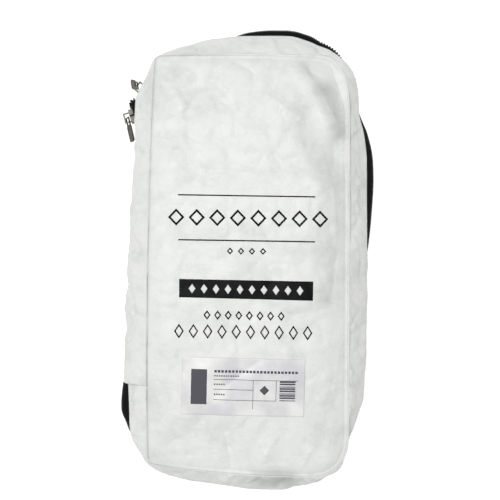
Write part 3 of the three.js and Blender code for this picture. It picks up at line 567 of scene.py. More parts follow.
def face_height(x, y):
    """Height of the front face's outer side above the floor. x and y are in the pouch's frame."""
    x, y = np.asarray(x, dtype=float) - SHIFT[0], np.asarray(y, dtype=float) - SHIFT[1]
    share = share_at(x, y)
    crown = np.full(share.shape, float(FACE_CROWN))
    for fold in FOLDS:
        a, b = (np.array(fold[end]) * (FACE_WIDTH / 2, FACE_HEIGHT / 2) for end in ("start", "end"))
        distance = line_distance(x, y, a, b) / (fold["reach"] * FACE_WIDTH)
        crown += fold["depth"] * FACE_CROWN * np.exp(-(distance**2))
    distance, lap = seam_distance(x, y)
    inside = np.clip(distance / SEAM_CALM, 0, 1)
    loose = inside * (1 - label_cover(x, y))
    height = np.maximum((1 - share**4) ** 0.6 * crown, 0)
    height += crease_height(x + SHIFT[0], y + SHIFT[1]) * inside
    height += noise(x, y, 60, 1) * 0.9 * inside
    for (size, depth, seed), where in zip(FACE_CRUMPLES, (inside, loose, loose)):
        height += crumple(x, y, size, seed) * depth * where
    ridge = np.exp(-(((distance - 0.6) / 1.0) ** 2)) - 0.6 * np.exp(-(((distance - 3.2) / 1.2) ** 2))
    height += along_seam(RIDGES, lap) * ridge
    height -= (0.3 + 0.8 * along_seam(GROOVE_DEPTH_AND_SHADE, lap)) * np.exp(-distance / 0.6)
    return SEAM_HEIGHT + height


# Materials
def new_material(name, color, roughness, metallic=0.0):
    material = bpy.data.materials.new(name)
    material.use_nodes = True
    shader = material.node_tree.nodes["Principled BSDF"]
    shader.inputs["Base Color"].default_value = (*color, 1)
    shader.inputs["Roughness"].default_value = roughness
    shader.inputs["Metallic"].default_value = metallic
    return material, material.node_tree, shader


def add_node(tree, kind, **values):
    """A node with some of its inputs or settings given by name."""
    node = tree.nodes.new(kind)
    for key, value in values.items():
        name = key.replace("_", " ")
        if name in node.inputs:
            node.inputs[name].default_value = value
        else:
            setattr(node, key, value)
    return node


def ramp(tree, source, stops):
    node = tree.nodes.new("ShaderNodeValToRGB")
    elements = node.color_ramp.elements
    for element, (place, color) in zip(elements, (stops[0], stops[-1])):
        element.position = place
        element.color = (*color, 1)
    for place, color in stops[1:-1]:
        elements.new(place).color = (*color, 1)
    tree.links.new(source, node.inputs["Fac"])
    return node.outputs["Color"]


def bump(tree, source, strength, depth, normal=None):
    node = add_node(tree, "ShaderNodeBump", Strength=strength, Distance=depth)
    tree.links.new(source, node.inputs["Height"])
    if normal is not None:
        tree.links.new(normal, node.inputs["Normal"])
    return node.outputs["Normal"]


def speckle_texture(tree, scale, detail, roughness, distortion=0.0):
    """A noise texture in the object's own coordinates."""
    node = add_node(
        tree, "ShaderNodeTexNoise", Scale=scale, Detail=detail, Roughness=roughness, Distortion=distortion
    )
    tree.links.new(coordinates(tree), node.inputs["Vector"])
    return node


def varied_roughness(tree, shader, source, low, high):
    node = add_node(tree, "ShaderNodeMapRange", To_Min=low, To_Max=high)
    tree.links.new(source, node.inputs["Value"])
    tree.links.new(node.outputs["Result"], shader.inputs["Roughness"])


def mix(tree, kind, first, second, factor=1.0):
    """Mixes a colour with another. Each is a socket or a plain colour."""
    node = add_node(tree, "ShaderNodeMixRGB", blend_type=kind)
    for name, source in (("Color1", first), ("Color2", second), ("Fac", factor)):
        if isinstance(source, bpy.types.NodeSocket):
            tree.links.new(source, node.inputs[name])
        else:
            node.inputs[name].default_value = source
    return node.outputs["Color"]


def coordinates(tree):
    return tree.nodes.new("ShaderNodeTexCoord").outputs["Object"]


def strip_place(tree):
    node = tree.nodes.new("ShaderNodeAttribute")
    node.attribute_name = "strip"
    return node.outputs["Vector"]


def cloth_material(name, light, dark):
    """Coated non-woven cloth: clouds of tone, matted fibres, small pressed wrinkles and painted shade."""
    material, tree, shader = new_material(name, light, 0.5)
    clouds = speckle_texture(tree, 24.0, 6.0, 0.62, 0.5).outputs["Fac"]
    smudges = speckle_texture(tree, 90.0, 5.0, 0.6, 0.3).outputs["Fac"]
    fibres = speckle_texture(tree, 950.0, 4.0, 0.75, 1.6).outputs["Fac"]
    wrinkles = speckle_texture(tree, 130.0, 6.0, 0.5, 0.15)
    facets = add_node(tree, "ShaderNodeTexVoronoi", Scale=95.0, Randomness=1.0, feature="DISTANCE_TO_EDGE")
    warped = mix(tree, "MIX", wrinkles.outputs["Color"], coordinates(tree), 0.985)
    tree.links.new(warped, facets.inputs["Vector"])
    color = ramp(tree, clouds, [(0.34, dark), (0.5, light), (0.72, light)])
    smudge = ramp(tree, smudges, [(0.34, (0.93, 0.935, 0.925)), (0.5, (1, 1, 1)), (0.8, (1, 1, 1))])
    color = mix(tree, "MULTIPLY", color, smudge)
    strip = tree.nodes.new("ShaderNodeSeparateXYZ")
    tree.links.new(strip_place(tree), strip.inputs["Vector"])
    # Painted shade: the colour is pulled towards dark grey as far as the strip's third value says.
    color = mix(tree, "MIX", color, (0.10, 0.11, 0.10, 1), strip.outputs["Z"])
    tree.links.new(color, shader.inputs["Base Color"])
    varied_roughness(tree, shader, wrinkles.outputs["Fac"], 0.4, 0.6)
    stops = [(0.0, (0, 0, 0)), (0.12, (0.7, 0.7, 0.7)), (0.5, (1, 1, 1))]
    edges = ramp(tree, facets.outputs["Distance"], stops)
    normal = bump(tree, wrinkles.outputs["Fac"], 0.5, 0.0006)
    normal = bump(tree, edges, 0.4, 0.0003, normal)
    normal = bump(tree, fibres, 0.3, 0.00015, normal)
    tree.links.new(normal, shader.inputs["Normal"])
    shader.inputs["Specular IOR Level"].default_value = 0.4
    return material


def tape_material():
    """Black woven tape, with fine ribs along it and a slanted weave."""
    material, tree, shader = new_material("black_woven_tape", (0.012, 0.012, 0.013), 0.8)
    place = strip_place(tree)
    ribs = add_node(tree, "ShaderNodeTexWave", Scale=0.32, Distortion=0.0, bands_direction="Y")
    picks = add_node(tree, "ShaderNodeTexWave", Scale=0.5, Distortion=0.0, bands_direction="DIAGONAL")
    for node in (ribs, picks):
        tree.links.new(place, node.inputs["Vector"])
    normal = bump(tree, ribs.outputs["Fac"], 0.6, 0.0003)
    normal = bump(tree, picks.outputs["Fac"], 0.5, 0.0002, normal)
    tree.links.new(normal, shader.inputs["Normal"])
    color = ramp(tree, picks.outputs["Fac"], [(0.2, (0.005, 0.005, 0.006)), (0.8, (0.013, 0.013, 0.014))])
    tree.links.new(color, shader.inputs["Base Color"])
    shader.inputs["Specular IOR Level"].default_value = 0.06
    return material


def speckled_material(name, color, roughness, texture, stops, relief):
    """A material with one noise for its colour and its relief. texture is the noise's scale, detail and
    roughness, and relief is how strong and how deep."""
    material, tree, shader = new_material(name, color, roughness)
    speckles = speckle_texture(tree, *texture).outputs["Fac"]
    tree.links.new(ramp(tree, speckles, stops), shader.inputs["Base Color"])
    tree.links.new(bump(tree, speckles, *relief), shader.inputs["Normal"])
    return material, shader


def coil_material():
    color, texture = (0.014, 0.014, 0.015), (600.0, 3.0, 0.6)
    stops = [(0.3, (0.010, 0.010, 0.011)), (0.8, (0.024, 0.024, 0.026))]
    return speckled_material("black_nylon_coil", color, 0.38, texture, stops, (0.2, 0.0001))[0]


def metal_material():
    """Old nickel: olive grey, with darker and lighter stains at random."""
    material, tree, shader = new_material("antique_nickel", (0.13, 0.125, 0.1), 0.42, 1.0)
    stain = speckle_texture(tree, 420.0, 5.0, 0.65).outputs["Fac"]
    scratch = speckle_texture(tree, 1500.0, 3.0, 0.5, 0.6).outputs["Fac"]
    stops = [(0.3, (0.05, 0.048, 0.039)), (0.5, (0.1, 0.097, 0.08)), (0.75, (0.19, 0.184, 0.155))]
    tree.links.new(ramp(tree, stain, stops), shader.inputs["Base Color"])
    varied_roughness(tree, shader, stain, 0.42, 0.62)
    tree.links.new(bump(tree, scratch, 0.15, 0.00006), shader.inputs["Normal"])
    return material


def paper_material():
    """Silvery sticker paper with a soft gloss."""
    material, tree, shader = new_material("sticker_paper", (0.78, 0.775, 0.78), 0.34)
    sheen = speckle_texture(tree, 45.0, 3.0, 0.5).outputs["Fac"]
    grain = speckle_texture(tree, 1800.0, 2.0, 0.6).outputs["Fac"]
    stops = [(0.35, (0.67, 0.66, 0.685)), (0.6, (0.83, 0.83, 0.81))]
    tree.links.new(ramp(tree, sheen, stops), shader.inputs["Base Color"])
    tree.links.new(bump(tree, grain, 0.15, 0.00005), shader.inputs["Normal"])
    return material


def ink_material(name, color, speckle):
    """Printed ink, a little worn in random speckles."""
    stops = [(0.2, color), (0.62, color), (0.9, speckle)]
    material, shader = speckled_material(name, color, 0.5, (900.0, 4.0, 0.7), stops, (0.2, 0.0001))
    shader.inputs["Specular IOR Level"].default_value = 0.06
    return material


def thread_material():
    material, tree, shader = new_material("white_thread", (0.78, 0.79, 0.78), 0.6)
    twist = add_node(tree, "ShaderNodeTexWave", Scale=900.0, Distortion=1.0)
    tree.links.new(coordinates(tree), twist.inputs["Vector"])
    tree.links.new(bump(tree, twist.outputs["Fac"], 0.4, 0.0001), shader.inputs["Normal"])
    stops = [(0.2, (0.7, 0.71, 0.7)), (0.8, (0.82, 0.83, 0.82))]
    tree.links.new(ramp(tree, twist.outputs["Fac"], stops), shader.inputs["Base Color"])
    return material


WHITE_CLOTH = cloth_material("white_coated_cloth", (0.80, 0.81, 0.795), (0.71, 0.73, 0.71))
BLACK_TAPE = tape_material()
BLACK_COIL = coil_material()
METAL = metal_material()
PAPER = paper_material()
INK = ink_material("black_ink", (0.008, 0.008, 0.009), (0.04, 0.04, 0.04))
LABEL_INK = ink_material("grey_ink", (0.10, 0.10, 0.115), (0.2, 0.2, 0.2))
WHITE_INK = ink_material("white_ink", (0.78, 0.79, 0.78), (0.5, 0.5, 0.5))
THREAD = thread_material()


def finish_piece(piece, slot, body="case", *nodes):
    """Parents a piece to what it rides on and hides the nodes that it stands for. slot is not used."""
    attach(piece, body)
    if nodes:
        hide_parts(*nodes)


# Cloth pieces
FRONT_COLUMNS, FRONT_ROWS = 148, 304
BACK_COLUMNS, BACK_ROWS = 56, 112
FRONT_THICKNESS = CLOTH - 0.1
SIDE_THICKNESS = CLOTH - 0.15
HEM_RISE = 0.45
ROLL_RISE = 0.8


def face_plan(u, v):
    """Places of a grid that fills the face's outline, seen from above."""
    left, right, top, bottom = (
        np.array([seam_point(lap) for lap in laps]) for laps in (v, 3 - v, 4 - u, 1 + u)
    )
    uu, vv = u[None, :, None], v[:, None, None]
    plan = (1 - vv) * top[None] + vv * bottom[None] + (1 - uu) * left[:, None] + uu * right[:, None]
    plan -= (1 - uu) * ((1 - vv) * top[0] + vv * bottom[0]) + uu * ((1 - vv) * top[-1] + vv * bottom[-1])
    return plan + SHIFT[:2]


def front_panel():
    def crowded(count):
        t = np.linspace(0, 1, count)
        return t * 0.6 + (0.5 - 0.5 * np.cos(math.pi * t)) * 0.4

    plan = face_plan(crowded(FRONT_COLUMNS), crowded(FRONT_ROWS))
    height = face_height(plan[..., 0], plan[..., 1])[..., None]
    outer = np.concatenate([plan, height], axis=2)
    inner = np.concatenate([plan, height - FRONT_THICKNESS], axis=2)
    distance, lap = seam_distance(plan[..., 0] - SHIFT[0], plan[..., 1] - SHIFT[1])
    # Painted shade: the listed shade places, and a thin dark line along the seam's groove.
    painted_shade = painted_shade_at(plan[..., 0], plan[..., 1]) + 0.6 * along_seam(GROOVE_DEPTH_AND_SHADE, lap) * np.exp(-distance / 0.5)
    strip = np.concatenate([plan, painted_shade[..., None]], axis=2)
    piece = closed_sheet("front_cloth", outer, inner, WHITE_CLOTH, strip)
    finish_piece(piece, "white_cloth", "case", "front_panel")


def wrinkled(points, sections, depths, seed):
    """Outer points of a band moved along their own section's normal by creases and crumples."""
    places = run_lengths(points)
    s, d = places[..., 0], places[..., 1]
    height = 0
    for size, depth, more in GUSSET_CRUMPLES:
        height = height + crumple(s, d, size, seed + more) * depth
    height = height + noise(s, d, 45, seed + 9) * 0.8
    high = np.clip((points[..., 2] - 20) / 8, 0, 1)
    height = height + crease_height(points[..., 0], points[..., 1]) * high
    # Painted shade from the listed shade places, only on the gusset's upper part.
    places[..., 2] = painted_shade_at(points[..., 0], points[..., 1]) * high
    ends = np.clip(np.minimum(s, s.max() - s) / END_CALM, 0, 1)
    return sections + outward_of(sections) * (height * depths * ends)[..., None], places


def seam_lip(sections, places, laps, from_seam):
    """Cloth beside the front seam, which rolls up and then dips into the seam's groove."""
    groove = along_seam(GROOVE_DEPTH_AND_SHADE, np.asarray(laps) % len(SIDES))[:, None]
    lip = 0.7 * np.exp(-(((from_seam - 1.6) / 1.0) ** 2)) - (0.05 + 0.65 * groove) * np.exp(-from_seam / 0.5)
    # Painted shade: a thin dark line along the seam's groove, kept in the places' third value.
    places[..., 2] += 0.6 * groove * np.exp(-from_seam / 0.5)
    return sections + outward_of(sections) * lip[..., None]


STITCH_PITCH = 3.1
STITCH_LENGTH = 2.4
STITCH_RADIUS = 0.24


def stitches(name, line, outward):
    """A row of stitches along a line on the cloth. Each is a thread that comes up, runs along and goes
    down again."""
    sides = 6
    reach = np.concatenate([[0], np.cumsum(np.linalg.norm(np.diff(line, axis=0), axis=1))])

    def at_reach(values, at):
        return np.array([np.interp(at, reach, values[:, k]) for k in range(3)])

    # How far along the stitch, how far up in millimetres and how thick
    shape = [(0.0, -0.12, 0.5), (0.12, 0.1, 0.9), (0.5, 0.2, 1.0), (0.88, 0.1, 0.9), (1.0, -0.12, 0.5)]
    points, faces = [], []
    for start in np.arange(STITCH_PITCH, reach[-1] - 2 * STITCH_PITCH, STITCH_PITCH):
        faces += tube_faces(len(shape), sides, len(points))
        for share, rise, wide in shape:
            at = start + share * STITCH_LENGTH
            middle, up = at_reach(line, at), at_reach(outward, at)
            side = np.cross(at_reach(line, at + 0.5) - middle, up)
            side /= np.linalg.norm(side)
            for k in range(sides):
                angle = 2 * math.pi * k / sides
                around = side * math.cos(angle) + up * math.sin(angle)
                points.append(middle + up * rise + around * STITCH_RADIUS * wide)
    finish_piece(make_object(name, points, faces, THREAD), "white_cloth")


def stitch_row(name, grid, column):
    """Stitches along one column of a band's outer points."""
    line = grid[:, column]
    along = np.gradient(line, axis=0)
    across = grid[:, column + 1] - grid[:, column - 1]
    outward = np.cross(along, across)
    outward /= np.linalg.norm(outward, axis=1, keepdims=True)
    middle = np.array([0, 0, SEAM_HEIGHT / 2])
    if ((line - middle) * outward).sum() < 0:
        outward = -outward
    stitches(name, line, outward)


SURFACE_LEVELS = [name for name in SECTION_LEVELS if name != "middle"]
PER_SEGMENT = 9


def surface_rows(laps, first="seam", last="back_seam"):
    """Points of the pouch's outer surface at each lap, from one level to another."""
    sections = np.array([station(lap)[2] for lap in laps])
    rows = smooth_rows(sections[:, [level(name) for name in SURFACE_LEVELS]], PER_SEGMENT)
    start, end = (SURFACE_LEVELS.index(name) * PER_SEGMENT for name in (first, last))
    return rows[:, start : end + 1]


def gusset(node, first, last, seed, hem_at_end):
    """A gusset's cloth with its hem stitched to the zip. Its other edge is at a seam."""
    fine = surface_rows(ZIP_LAPS, first, last)
    count = fine.shape[1]
    t = np.linspace(0, 1, count)
    from_seam = t if hem_at_end else 1 - t
    fade = np.clip(from_seam / 0.12, 0, 1) * np.clip((1 - from_seam) / 0.3, 0.02, 1)
    moved, places = wrinkled(band(ZIP_LAPS, fine), fine, np.broadcast_to(fade, fine.shape[:2]), seed)
    if hem_at_end:
        moved = seam_lip(moved, places, ZIP_LAPS, places[..., 1])
    hem = HEM_RISE * np.clip((from_seam - 0.76) / 0.03, 0, 1)
    moved = offset(moved, np.broadcast_to(-hem, moved.shape[:2]))
    inner = offset(moved, np.full(moved.shape[:2], SIDE_THICKNESS) + hem)
    outer = band(ZIP_LAPS, moved)
    piece = closed_sheet(node + "_cloth", outer, band(ZIP_LAPS, inner), WHITE_CLOTH, places)
    finish_piece(piece, "white_cloth", "case", node)
    column = int(round((0.9 if hem_at_end else 0.1) * (count - 1)))
    stitch_row(node + "_stitches", outer, column)


# The spine's cloth and the zip's stop this much of a lap short of each other.
SPINE_GAP = 0.0005
ZIP_LAPS = laps_between(SPINE_BOTTOM + SPINE_GAP, 4 + SPINE_TOP - SPINE_GAP)
SPINE_LAPS = laps_between(SPINE_TOP + SPINE_GAP, SPINE_BOTTOM - SPINE_GAP)


def spine():
    fine = surface_rows(SPINE_LAPS)
    t = np.linspace(0, 1, fine.shape[1])
    fade = np.clip(t / 0.06, 0, 1) * np.clip((1 - t) / 0.06, 0, 1)
    moved, places = wrinkled(band(SPINE_LAPS, fine), fine, np.broadcast_to(fade, fine.shape[:2]), 31)
    moved = seam_lip(moved, places, SPINE_LAPS, places[..., 1])
    inner = offset(moved, np.full(moved.shape[:2], SIDE_THICKNESS))
    piece = closed_sheet("spine_cloth", band(SPINE_LAPS, moved), band(SPINE_LAPS, inner), WHITE_CLOTH, places)
    finish_piece(piece, "white_cloth", "case", "spine_panel")


def back_panel():
    plan = face_plan(np.linspace(0, 1, BACK_COLUMNS), np.linspace(0, 1, BACK_ROWS))
    dimple = np.abs(crumple(plan[..., 0], plan[..., 1], 26, 77))[..., None] * 0.5
    under = np.concatenate([plan, dimple], axis=2)
    upper = np.concatenate([plan, dimple * 0 + CLOTH], axis=2)
    piece = closed_sheet("back_cloth", under, upper, WHITE_CLOTH, np.concatenate([plan, dimple * 0], axis=2))
    finish_piece(piece, "white_cloth", "case", "back_panel")


# The zip
TAPE_PER_SEGMENT = 7
TAPE_INSET = 0.15
TAPE_THICKNESS = CLOTH - 0.3
COIL_PITCH = 1.4
COIL_END = 0.004  # how much of a lap the teeth stop short of the tape's ends
POST_HALF = 1.1
POST_START = 2.0
PARTING = 1.5
LOOSE_TOOTH = 0.66  # half width of a tooth that hooks into no other, where the zip is parted


def zip_middle(lap):
    at, normal, section = station(lap)
    out, z = section[level("middle")]
    return np.array([*(at + normal * out), z]) + SHIFT


def parted_at(lap):
    """How far each half of the zip stands from its middle: between the sliders' posts it is parted."""
    turn = lap % len(SIDES)
    post = POST_START / LEFT_LENGTH
    parting = PARTING / LEFT_LENGTH
    rise = np.clip((turn - SLIDER_LAPS["upper"] - post) / parting + 1, 0, 1)
    rise *= np.clip((SLIDER_LAPS["lower"] - post - turn) / parting + 1, 0, 1)
    return CLEARANCE / 2 + rise * (POST_HALF + CLEARANCE / 2)


def tape(name, sign, edge_name):
    """One half of the zip's tape, from its gusset's edge to the zip's middle."""
    sections = np.array([station(lap)[2] for lap in ZIP_LAPS])
    middle = sections[:, level("middle")].copy()
    middle[:, 1] += sign * np.array([parted_at(lap) for lap in ZIP_LAPS])
    flat = sections[:, level("flat_top" if sign > 0 else "flat_bottom")]
    fine = smooth_rows(np.stack([sections[:, level(edge_name)], flat, middle], axis=1), TAPE_PER_SEGMENT)
    fine[..., 0] -= TAPE_INSET
    inner = offset(fine, np.full(fine.shape[:2], sign * TAPE_THICKNESS))
    points = band(ZIP_LAPS, fine)
    lengths = run_lengths(points)
    piece = closed_sheet(name + "_cloth", points, band(ZIP_LAPS, inner), BLACK_TAPE, lengths)
    finish_piece(piece, "zip_tape", "case", name)


# A tooth's rings from its root to its head: distance from the zip's middle, half width, least and greatest
# height out of the tape.
TOOTH = [
    (2.65, 0.5, 0.35, 1.2), (2.4, 0.62, 0.3, 1.9), (1.2, 0.6, 0.3, 2.25), (0.1, 0.36, 0.3, 2.45),
    (-0.45, 0.46, 0.4, 2.3), (-0.8, 0.3, 0.8, 1.9),
]


def coil(name, sign):
    """The teeth of one half of the zip, evenly spaced and half a pitch off the other half's."""
    laps = laps_between(SPINE_BOTTOM + COIL_END, 4 + SPINE_TOP - COIL_END, COIL_PITCH)
    points, faces = [], []
    sides = 8
    for lap in laps[:-1] + (laps[1] - laps[0]) * (0.25 + 0.25 * sign):
        at = zip_middle(lap)
        ahead = zip_middle(lap + 0.003) - zip_middle(lap - 0.003)
        ahead /= np.linalg.norm(ahead)
        flat = np.array([ahead[1], -ahead[0], 0])
        flat /= np.linalg.norm(flat)
        across = np.cross(flat, ahead)
        across = across if across[2] > 0 else -across
        parted = parted_at(lap) - CLEARANCE / 2
        loose = min(parted / POST_HALF, 1)
        faces += tube_faces(len(TOOTH), sides, len(points))
        for reach, half, low, high in TOOTH:
            half = half * (1 - loose) + LOOSE_TOOTH * loose
            middle = at + across * sign * (reach + parted)
            for k in range(sides):
                angle = 2 * math.pi * (k + 0.5) / sides
                out = (low + high) / 2 + math.sin(angle) * (high - low) / 2
                points.append(middle + ahead * math.cos(angle) * half + flat * out)
    finish_piece(make_object(name + "_teeth", points, faces, BLACK_COIL), "zip_coil", "case", name)


def rolled_seam():
    """The rounded roll of cloth along the front seam."""
    laps = laps_between(1.05, 3.9)
    sides = 10
    points = []
    for lap in laps:
        at, normal = station(lap)[:2]
        radius = float(along_seam(ROLLS, lap))
        for k in range(sides):
            angle = 2 * math.pi * k / sides
            plan = at + normal * (0.15 + math.cos(angle) * radius)
            points.append([*plan, SEAM_HEIGHT + (ROLL_RISE - 1 + math.sin(angle)) * radius])
    strip = np.zeros((len(points), 3))
    faces = tube_faces(len(laps), sides)
    piece = make_object("rolled_seam", np.array(points) + SHIFT, faces, WHITE_CLOTH, strip)
    finish_piece(piece, "white_cloth")


# Sliders and pulls keep their solids' shape, with their edges rounded.
def rounded_metal(node, body, edge):
    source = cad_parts[node]
    mesh = source.data.copy()
    mesh.name = node + "_metal"
    work = bmesh.new()
    work.from_mesh(mesh)
    bmesh.ops.remove_doubles(work, verts=work.verts, dist=1e-6)
    bmesh.ops.dissolve_limit(work, angle_limit=math.radians(1), verts=work.verts, edges=work.edges)
    work.to_mesh(mesh)
    work.free()
    piece = bpy.data.objects.new(node + "_metal", mesh)
    piece.matrix_world = source.matrix_world
    bpy.context.scene.collection.objects.link(piece)
    mesh.materials.clear()
    mesh.materials.append(METAL)
    bevel = piece.modifiers.new("rounded edges", "BEVEL")
    bevel.width = edge * MM
    bevel.segments = 3
    bevel.limit_method = "ANGLE"
    bevel.angle_limit = math.radians(25)
    bevel.use_clamp_overlap = True
    mesh.polygons.foreach_set("use_smooth", [True] * len(mesh.polygons))
    normals = piece.modifiers.new("even normals", "WEIGHTED_NORMAL")
    normals.keep_sharp = False
    finish_piece(piece, "slider_metal", body, node)


RIM_INSET = 1.1
RIM_RADIUS = 0.3
RIM_START = 8.6


def pull_rims(node, body, slider):
    """A raised rim round both sides of a pull's tab, found from the solid's own length, width and
    thickness."""
    def vertices(name):
        return np.array([list(v.co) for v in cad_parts[name].data.vertices]) / MM

    corners = vertices(node)
    middle = corners.mean(axis=0)
    axes = np.linalg.svd(corners - middle, full_matrices=False)[2]
    if (vertices(slider).mean(axis=0) - middle) @ axes[0] > 0:
        axes[0] = -axes[0]
    spans = (corners - middle) @ axes.T
    low, high = spans.min(axis=0), spans.max(axis=0)
    start, end = low[0] + RIM_START + 1, high[0] - RIM_INSET - 1
    half = (high[1] - low[1]) / 2 - RIM_INSET - 1
    across_middle = (high[1] + low[1]) / 2
    path = []
    for cx, cy, first in ((end, half, 0), (start, half, 90), (start, -half, 180), (end, -half, 270)):
        for step in range(5):
            angle = math.radians(first + step * 22.5)
            path.append((cx + math.cos(angle), across_middle + cy + math.sin(angle)))
    points, faces = [], []
    sides = 8
    for face_at in (low[2], high[2]):
        faces += tube_faces(len(path), sides, len(points), endless=True)
        for k, (along, across) in enumerate(path):
            before, after = np.array(path[k - 1]), np.array(path[(k + 1) % len(path)])
            way = (after - before) / np.linalg.norm(after - before)
            for j in range(sides):
                angle = 2 * math.pi * j / sides
                shift = math.cos(angle) * RIM_RADIUS
                rise = face_at + math.sin(angle) * RIM_RADIUS
                place = (along + way[1] * shift, across - way[0] * shift, rise)
                points.append(middle + np.array(place) @ axes)
    finish_piece(make_object(node + "_rims", points, faces, METAL), "slider_metal", body)


# Prints: thin patches that follow the front face
def patch(corners, lift, thickness=0.12, cell=1.0):
    """Points and faces of a thin slab over a four-cornered place of the face. corners are in the pouch's
    frame, in millimetres."""
    a, b, c, d = (np.array(p, dtype=float) for p in corners)
    columns = max(int(round(np.hypot(*(b - a)) / cell)), 1) + 1
    rows = max(int(round(np.hypot(*(d - a)) / cell)), 1) + 1
    u = np.linspace(0, 1, columns)[None, :, None]
    v = np.linspace(0, 1, rows)[:, None, None]
    plan = (1 - v) * ((1 - u) * a + u * b) + v * ((1 - u) * d + u * c)
    base = face_height(plan[..., 0], plan[..., 1])[..., None] + lift
    top = np.concatenate([plan, base + thickness], axis=2)
    under = np.concatenate([plan, base - 0.1], axis=2)
    return top, under


def merge_slabs(name, slabs, material):
    points, faces = [], []
    for top, under in slabs:
        rows, columns = top.shape[:2]
        first = sum(len(p) for p in points)
        count = rows * columns
        points += [top.reshape(-1, 3), under.reshape(-1, 3)]
        faces += grid_faces(rows, columns, first)
        faces += [face[::-1] for face in grid_faces(rows, columns, first + count)]
        ring = border(rows, columns) + first
        turned = np.roll(ring, -1)
        faces += np.stack([ring, ring + count, turned + count, turned], axis=-1).tolist()
    return make_object(name, np.concatenate(points), faces, material)


def pixel_box(x0, y0, x1, y1, tilt=0.0):
    """Corners of a box of the photograph's pixels, in the pouch's frame. tilt is how many pixels its right
    end stands lower."""
    height = SEAM_HEIGHT + FACE_CROWN
    return [
        photo_place((x0, y0), height),
        photo_place((x1, y0 + tilt), height),
        photo_place((x1, y1 + tilt), height),
        photo_place((x0, y1), height),
    ]


def diamond(x, y, half_wide, half_high):
    height = SEAM_HEIGHT + FACE_CROWN
    places = [(x - half_wide, y), (x, y - half_high), (x + half_wide, y), (x, y + half_high)]
    return [photo_place(place, height) for place in places]


def ring_of(places, share):
    """The four slabs of a four-cornered outline. share is how much of it is left open."""
    middle = sum(places) / 4
    inner = [middle + (place - middle) * share for place in places]
    return [patch([places[k], places[(k + 1) % 4], inner[(k + 1) % 4], inner[k]], 0.03) for k in range(4)]


# Rows of small motifs on the face, by pixels of the photograph. fall is how many pixels lower each one is
# than the one before it, and open is how much of it is left open.
PRINT_ROWS = [
    {"x": 176, "y": 217, "step": 20.6, "count": 8, "fall": 0.3, "wide": 8.2, "high": 8.6, "open": 0.66},
    {"x": 230, "y": 251, "step": 11, "count": 4, "fall": 0.15, "wide": 3.2, "high": 3.6, "open": 0.5},
    {"x": 207, "y": 315, "step": 10.6, "count": 8, "fall": 0.2, "wide": 3.6, "high": 4.8, "open": 0.55},
    {"x": 179, "y": 331, "step": 14.3, "count": 10, "fall": 0.25, "wide": 4.8, "high": 7.4, "open": 0.68},
]
RULES = [
    {"y": 194, "x0": 178, "x1": 315, "fall": 2.2},
    {"y": 239, "x0": 178, "x1": 315, "fall": 2.2},
]
BAR = ((179, 279), (313.3, 281.6), (313, 300.8), (179, 297.3))


def face_print():
    height = SEAM_HEIGHT + FACE_CROWN
    slabs = []
    for row in PRINT_ROWS:
        for k in range(row["count"]):
            x, y = row["x"] + k * row["step"], row["y"] + k * row["fall"]
            slabs += ring_of(diamond(x, y, row["wide"], row["high"]), row["open"])
    for rule in RULES:
        slabs.append(patch(pixel_box(rule["x0"], rule["y"], rule["x1"], rule["y"] + 1.3, rule["fall"]), 0.03))
    slabs.append(patch([photo_place(p, height) for p in BAR], 0.03))
    finish_piece(merge_slabs("face_print", slabs, INK), "zip_tape")
    slabs = [patch(diamond(192 + k * 12, 288.6 + k * 0.25, 3.4, 4.8), 0.2, 0.03) for k in range(10)]
    finish_piece(merge_slabs("bar_print", slabs, WHITE_INK), "white_cloth")


def label_place(x, y):
    """A place on the sticker, in millimetres right of and above its middle, in the pouch's frame."""
    c, s = math.cos(LABEL_TURN), math.sin(LABEL_TURN)
    return LABEL_AT + np.array([x * c - y * s, x * s + y * c])


def label_box(x0, y0, x1, y1):
    return [label_place(x0, y1), label_place(x1, y1), label_place(x1, y0), label_place(x0, y0)]


def sticker():
    half_w, half_h = LABEL_WIDTH / 2, LABEL_HEIGHT / 2
    paper = [patch(label_box(-half_w, -half_h, half_w, half_h), 0.08, 0.15)]
    finish_piece(merge_slabs("sticker_paper", paper, PAPER), "sticker", "case", "label")
    boxes = [
        (-43, -15, -30, 14), (-24.5, 5.6, 45, 6.0), (-24.5, -2.6, 8, -2.2), (-24.5, -11.2, 27, -10.8),
        (8, -18, 8.4, 6), (27, -11.2, 27.4, 6),
    ]
    boxes += [(-24 + k * 2.9, 11.6, -22 + k * 2.9, 13.6) for k in range(24)]
    boxes += [(-24 + k * 1.9, 8.3, -22.8 + k * 1.9, 9.3) for k in range(11)]
    boxes += [(-24 + k * 1.9, row, -22.8 + k * 1.9, row + 1.2) for row in (1.2, -7.2) for k in range(5)]
    boxes += [(30, -11 + k * 1.9, 43, -11 + k * 1.9 + (1.3 if k % 3 else 0.7)) for k in range(9)]
    motif = [(17.5, 1.6), (21.5, -2.4), (17.5, -6.4), (13.5, -2.4)]
    shapes = [label_box(*box) for box in boxes] + [[label_place(x, y) for x, y in motif]]
    slabs = [patch(shape, 0.26, 0.06) for shape in shapes]
    finish_piece(merge_slabs("sticker_print", slabs, LABEL_INK), "zip_tape")


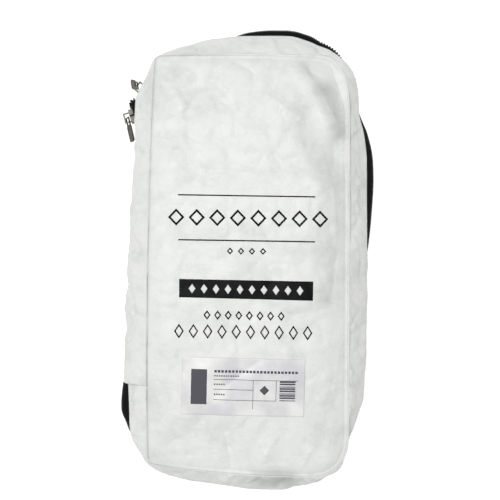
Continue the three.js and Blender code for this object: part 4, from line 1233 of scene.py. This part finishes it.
# The scene round the pouch
def set_scene():
    camera = bpy.data.objects.new("camera", bpy.data.cameras.new("camera"))
    bpy.context.scene.collection.objects.link(camera)
    camera.location = (AXIS[0] * MM, AXIS[1] * MM, CAMERA_HEIGHT * MM)
    camera.data.sensor_width = SENSOR
    camera.data.lens = SENSOR * (CAMERA_HEIGHT - SEAM_LEVEL) / (PHOTO_SIZE * PIXEL)
    camera.data.clip_start = 0.01
    bpy.context.scene.camera = camera

    bpy.ops.mesh.primitive_plane_add(size=60, location=(0, 0, 0))
    floor = bpy.context.object
    floor.name = "floor"
    material, _, shader = new_material("pale_floor", (0.2, 0.2, 0.2), 0.8)
    shader.inputs["Emission Color"].default_value = (1, 1, 1, 1)
    shader.inputs["Emission Strength"].default_value = 0.95
    floor.data.materials.append(material)
    bpy.context.scene.view_settings.view_transform = "Standard"

    world = bpy.data.worlds.new("soft studio")
    bpy.context.scene.world = world
    world.use_nodes = True
    world.node_tree.nodes["Background"].inputs["Color"].default_value = (1, 1, 1, 1)
    world.node_tree.nodes["Background"].inputs["Strength"].default_value = 0.24
    lights = [
        {"name": "key", "at": (-0.4, 0.42, 2.5), "size": 0.35, "power": 45},
        {"name": "fill", "at": (-1.3, -0.3, 0.9), "size": 0.5, "power": 0.9},
        {"name": "low fill", "at": (-0.3, -1.3, 0.8), "size": 0.5, "power": 1.3},
        {"name": "right fill", "at": (1.4, -0.2, 0.8), "size": 0.5, "power": 1.3},
    ]
    for entry in lights:
        light = bpy.data.lights.new(entry["name"], "AREA")
        light.size = entry["size"]
        light.energy = entry["power"]
        lamp = bpy.data.objects.new(entry["name"], light)
        lamp.location = entry["at"]
        lamp.rotation_euler = (Vector((0, 0, 0)) - Vector(entry["at"])).to_track_quat("-Z", "Y").to_euler()
        bpy.context.scene.collection.objects.link(lamp)


set_scene()
gusset("front_gusset", "seam", "edge", 40, True)
gusset("back_gusset", "back_edge", "back_seam", 60, False)
spine()
front_panel()
rolled_seam()
back_panel()
tape("zip_tape_front", 1, "edge")
tape("zip_tape_back", -1, "back_edge")
coil("zip_coil_front", 1)
coil("zip_coil_back", -1)
rounded_metal("slider_upper", "case", 0.22)
rounded_metal("slider_lower", "case", 0.22)
rounded_metal("pull_upper", "upper_pull", 0.25)
rounded_metal("pull_lower", "lower_pull", 0.25)
pull_rims("pull_upper", "upper_pull", "slider_upper")
pull_rims("pull_lower", "lower_pull", "slider_lower")
face_print()
sticker()
